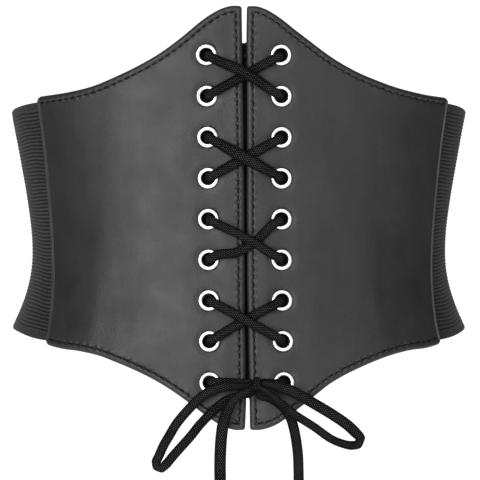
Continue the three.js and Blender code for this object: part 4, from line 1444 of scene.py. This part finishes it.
def make_strip():
    """In the gap the strip's top edge has a small round notch and its lower edge a pointed one."""
    columns, rows = np.meshgrid(STRIP_COLUMNS, np.linspace(0, 1, STRIP_ROWS))
    away = np.abs(columns) * STRIP_WIDTH / 2
    dip = TOP_NOTCH * np.sqrt(np.clip(1 - (away / NOTCH_WIDTH) ** 2, 0, 1))
    point = LOWER_NOTCH * np.clip(1 - away / LOWER_NOTCH_WIDTH, 0, 1)
    height = mix(STRIP_BOTTOM - LOWER_REACH + point, STRIP_TOP + TOP_REACH - dip, rows)
    around = seam(height) + columns * STRIP_WIDTH / 2
    from_side = STRIP_WIDTH / 2 - away
    from_end = np.minimum(rows, 1 - rows) * (STRIP_TOP - STRIP_BOTTOM)
    thin = STRIP_ROLL * (1 - smooth_step(np.minimum(from_side, from_end), 0, STRIP_ROLL_REACH))
    outer = on_body(around, height, STRIP_OUTER - thin)
    inner = on_body(around, height, STRIP_OUTER - STRIP_THICKNESS + thin)
    stored = {"along": around, "up": height}
    made, _ = shell("gap_strip_webbing", outer, inner, [WEBBING], stored)
    finish_piece(made, "webbing", "gap_strip")


make_strip()


# The eyelets

EYELET_SIDES = 64
# An eyelet's flange from its rim, 0, to its hole, 1, and how high it stands there
DOME = {
    "from_rim": (0, 0, 0.02, 0.06, 0.12, 0.22, 0.36, 0.5, 0.64, 0.76, 0.85, 0.92, 0.97, 1),
    "rise": (0.25, 0.5, 0.68, 0.8, 0.88, 0.94, 0.98, 1, 0.99, 0.965, 0.925, 0.85, 0.7, 0.45),
}
# The rest of its outline, as distances out from the hole's edge and heights: the flange's foot
# in front, then the tube and the flange behind
EYELET_FOOT = PANEL_OUTER - DIMPLE_DEPTH * 0.9
FLANGE_FOOT = ((0.0006, EYELET_FOOT), (0.00185, EYELET_FOOT))
BEHIND = (
    (0, 0.0004), (0.0001, BACK_FLANGE_FOOT + 0.0003), (0.0005, BACK_FLANGE_FOOT),
    (0.00085, BACK_FLANGE_FOOT), (0.00135, BACK_FLANGE_FOOT + 0.0002),
    (0.00145, BACK_FLANGE_FOOT + 0.0005), (0.00115, -0.00005), (0.0007, -0.00005),
)


def make_eyelets():
    hole = EYELET_HOLE / 2
    wide = EYELET_WIDTH / 2 - hole
    dome = [(wide * (1 - from_rim), mix(EYELET_FOOT, FLANGE_TOP, rise))
            for from_rim, rise in zip(DOME["from_rim"], DOME["rise"])]
    outline = [(hole + away, height) for away, height in (*FLANGE_FOOT, *dome, *BEHIND)]
    for side in SIDES:
        for row in eyelet_rows():
            around, height = eyelet_place(side, row)
            made = lathe(f"{side}_eyelet_{row}_ring", outline, EYELET_SIDES, [NICKEL])
            turn = Matrix(body_axes(around, height)).transposed().to_4x4()
            made.matrix_world = Matrix.Translation(body_point(around, height)) @ turn
            finish_piece(made, "nickel", f"{side}_eyelet_{row}")


make_eyelets()


# Studio

FLOOR_HEIGHT = -1
WALL_PLACE = 3.2
WALL_HEIGHT = 4
STAGE_HALF_WIDTH = 3
STAGE_COLUMNS = 5
COVE_RADIUS = 1
FLOOR_GREY = 0.3
WALL_GLOW = 0.93
WORLD_GLOW = 0.08
LAMP_DISTANCE = 2.3
# Each lamp's degrees to the right of the front and up, its width and height, and its brightness
LAMPS = {
    "key": (-24, 6, (1.5, 1.3), 5.9),
    "front": (8, 4, (0.8, 1.3), 1.1),
    "right": (33, 5, (0.9, 1.2), 1.5),
    "top": (0, 38, (2.3, 0.9), 2.4),
    "low": (-15, -19, (1.6, 0.7), 1.1),
    "back_left": (-148, 22, (0.9, 1.2), 2.6),
    "back_right": (148, 22, (0.9, 1.2), 2.6),
}


def pale_paint():
    f = Finish("pale_floor", Roughness=0.9, Specular_IOR_Level=0.0, Emission_Strength=WALL_GLOW,
               Emission_Color=(1, 1, 1, 1))
    clouds = f.noise(0.5, 2, 0.5)
    colour = f.greys(clouds, FLOOR_GREY * 0.96, FLOOR_GREY)
    f.give(f.shader.inputs["Base Color"], colour)
    return f.material


def make_stage():
    """A pale floor that turns up into a softly lit wall behind the belt."""
    turn = np.linspace(0, math.pi / 2, 17)
    profile = [(-STAGE_HALF_WIDTH, FLOOR_HEIGHT)]
    profile += [(WALL_PLACE - COVE_RADIUS + COVE_RADIUS * math.sin(t),
                 FLOOR_HEIGHT + COVE_RADIUS * (1 - math.cos(t))) for t in turn]
    profile.append((WALL_PLACE, WALL_HEIGHT))
    y, z = np.array(profile).T
    x = np.linspace(-STAGE_HALF_WIDTH, STAGE_HALF_WIDTH, STAGE_COLUMNS)
    lines = (np.repeat(line, STAGE_COLUMNS) for line in (y, z))
    points = np.stack([np.tile(x, len(y)), *lines], -1)
    index = np.arange(len(points)).reshape(len(y), STAGE_COLUMNS)
    make_object("studio_floor", points, [squares_of(index)], [pale_paint()])


def soft_box(name, turn, rise, size, brightness):
    """A lamp aimed at the belt. brightness is what a mirror would show of it."""
    data = bpy.data.lights.new(name, "AREA")
    data.shape = "RECTANGLE"
    data.size, data.size_y = size
    data.energy = brightness * math.pi * size[0] * size[1]
    lamp = bpy.data.objects.new(name, data)
    turn, rise = math.radians(turn), math.radians(rise)
    ahead = Vector((math.sin(turn), -math.cos(turn), 0))
    place = (ahead * math.cos(rise) + Vector((0, 0, math.sin(rise)))) * LAMP_DISTANCE
    lamp.location = place
    lamp.rotation_euler = (-place).to_track_quat("-Z", "Y").to_euler()
    bpy.context.scene.collection.objects.link(lamp)


def make_lights():
    world = bpy.data.worlds.new("studio")
    world.use_nodes = True
    background = world.node_tree.nodes["Background"]
    background.inputs["Color"].default_value = (1, 1, 1, 1)
    background.inputs["Strength"].default_value = WORLD_GLOW
    bpy.context.scene.world = world
    for name, settings in LAMPS.items():
        soft_box(name, *settings)
    bpy.context.scene.view_settings.view_transform = "Standard"


make_stage()
make_lights()
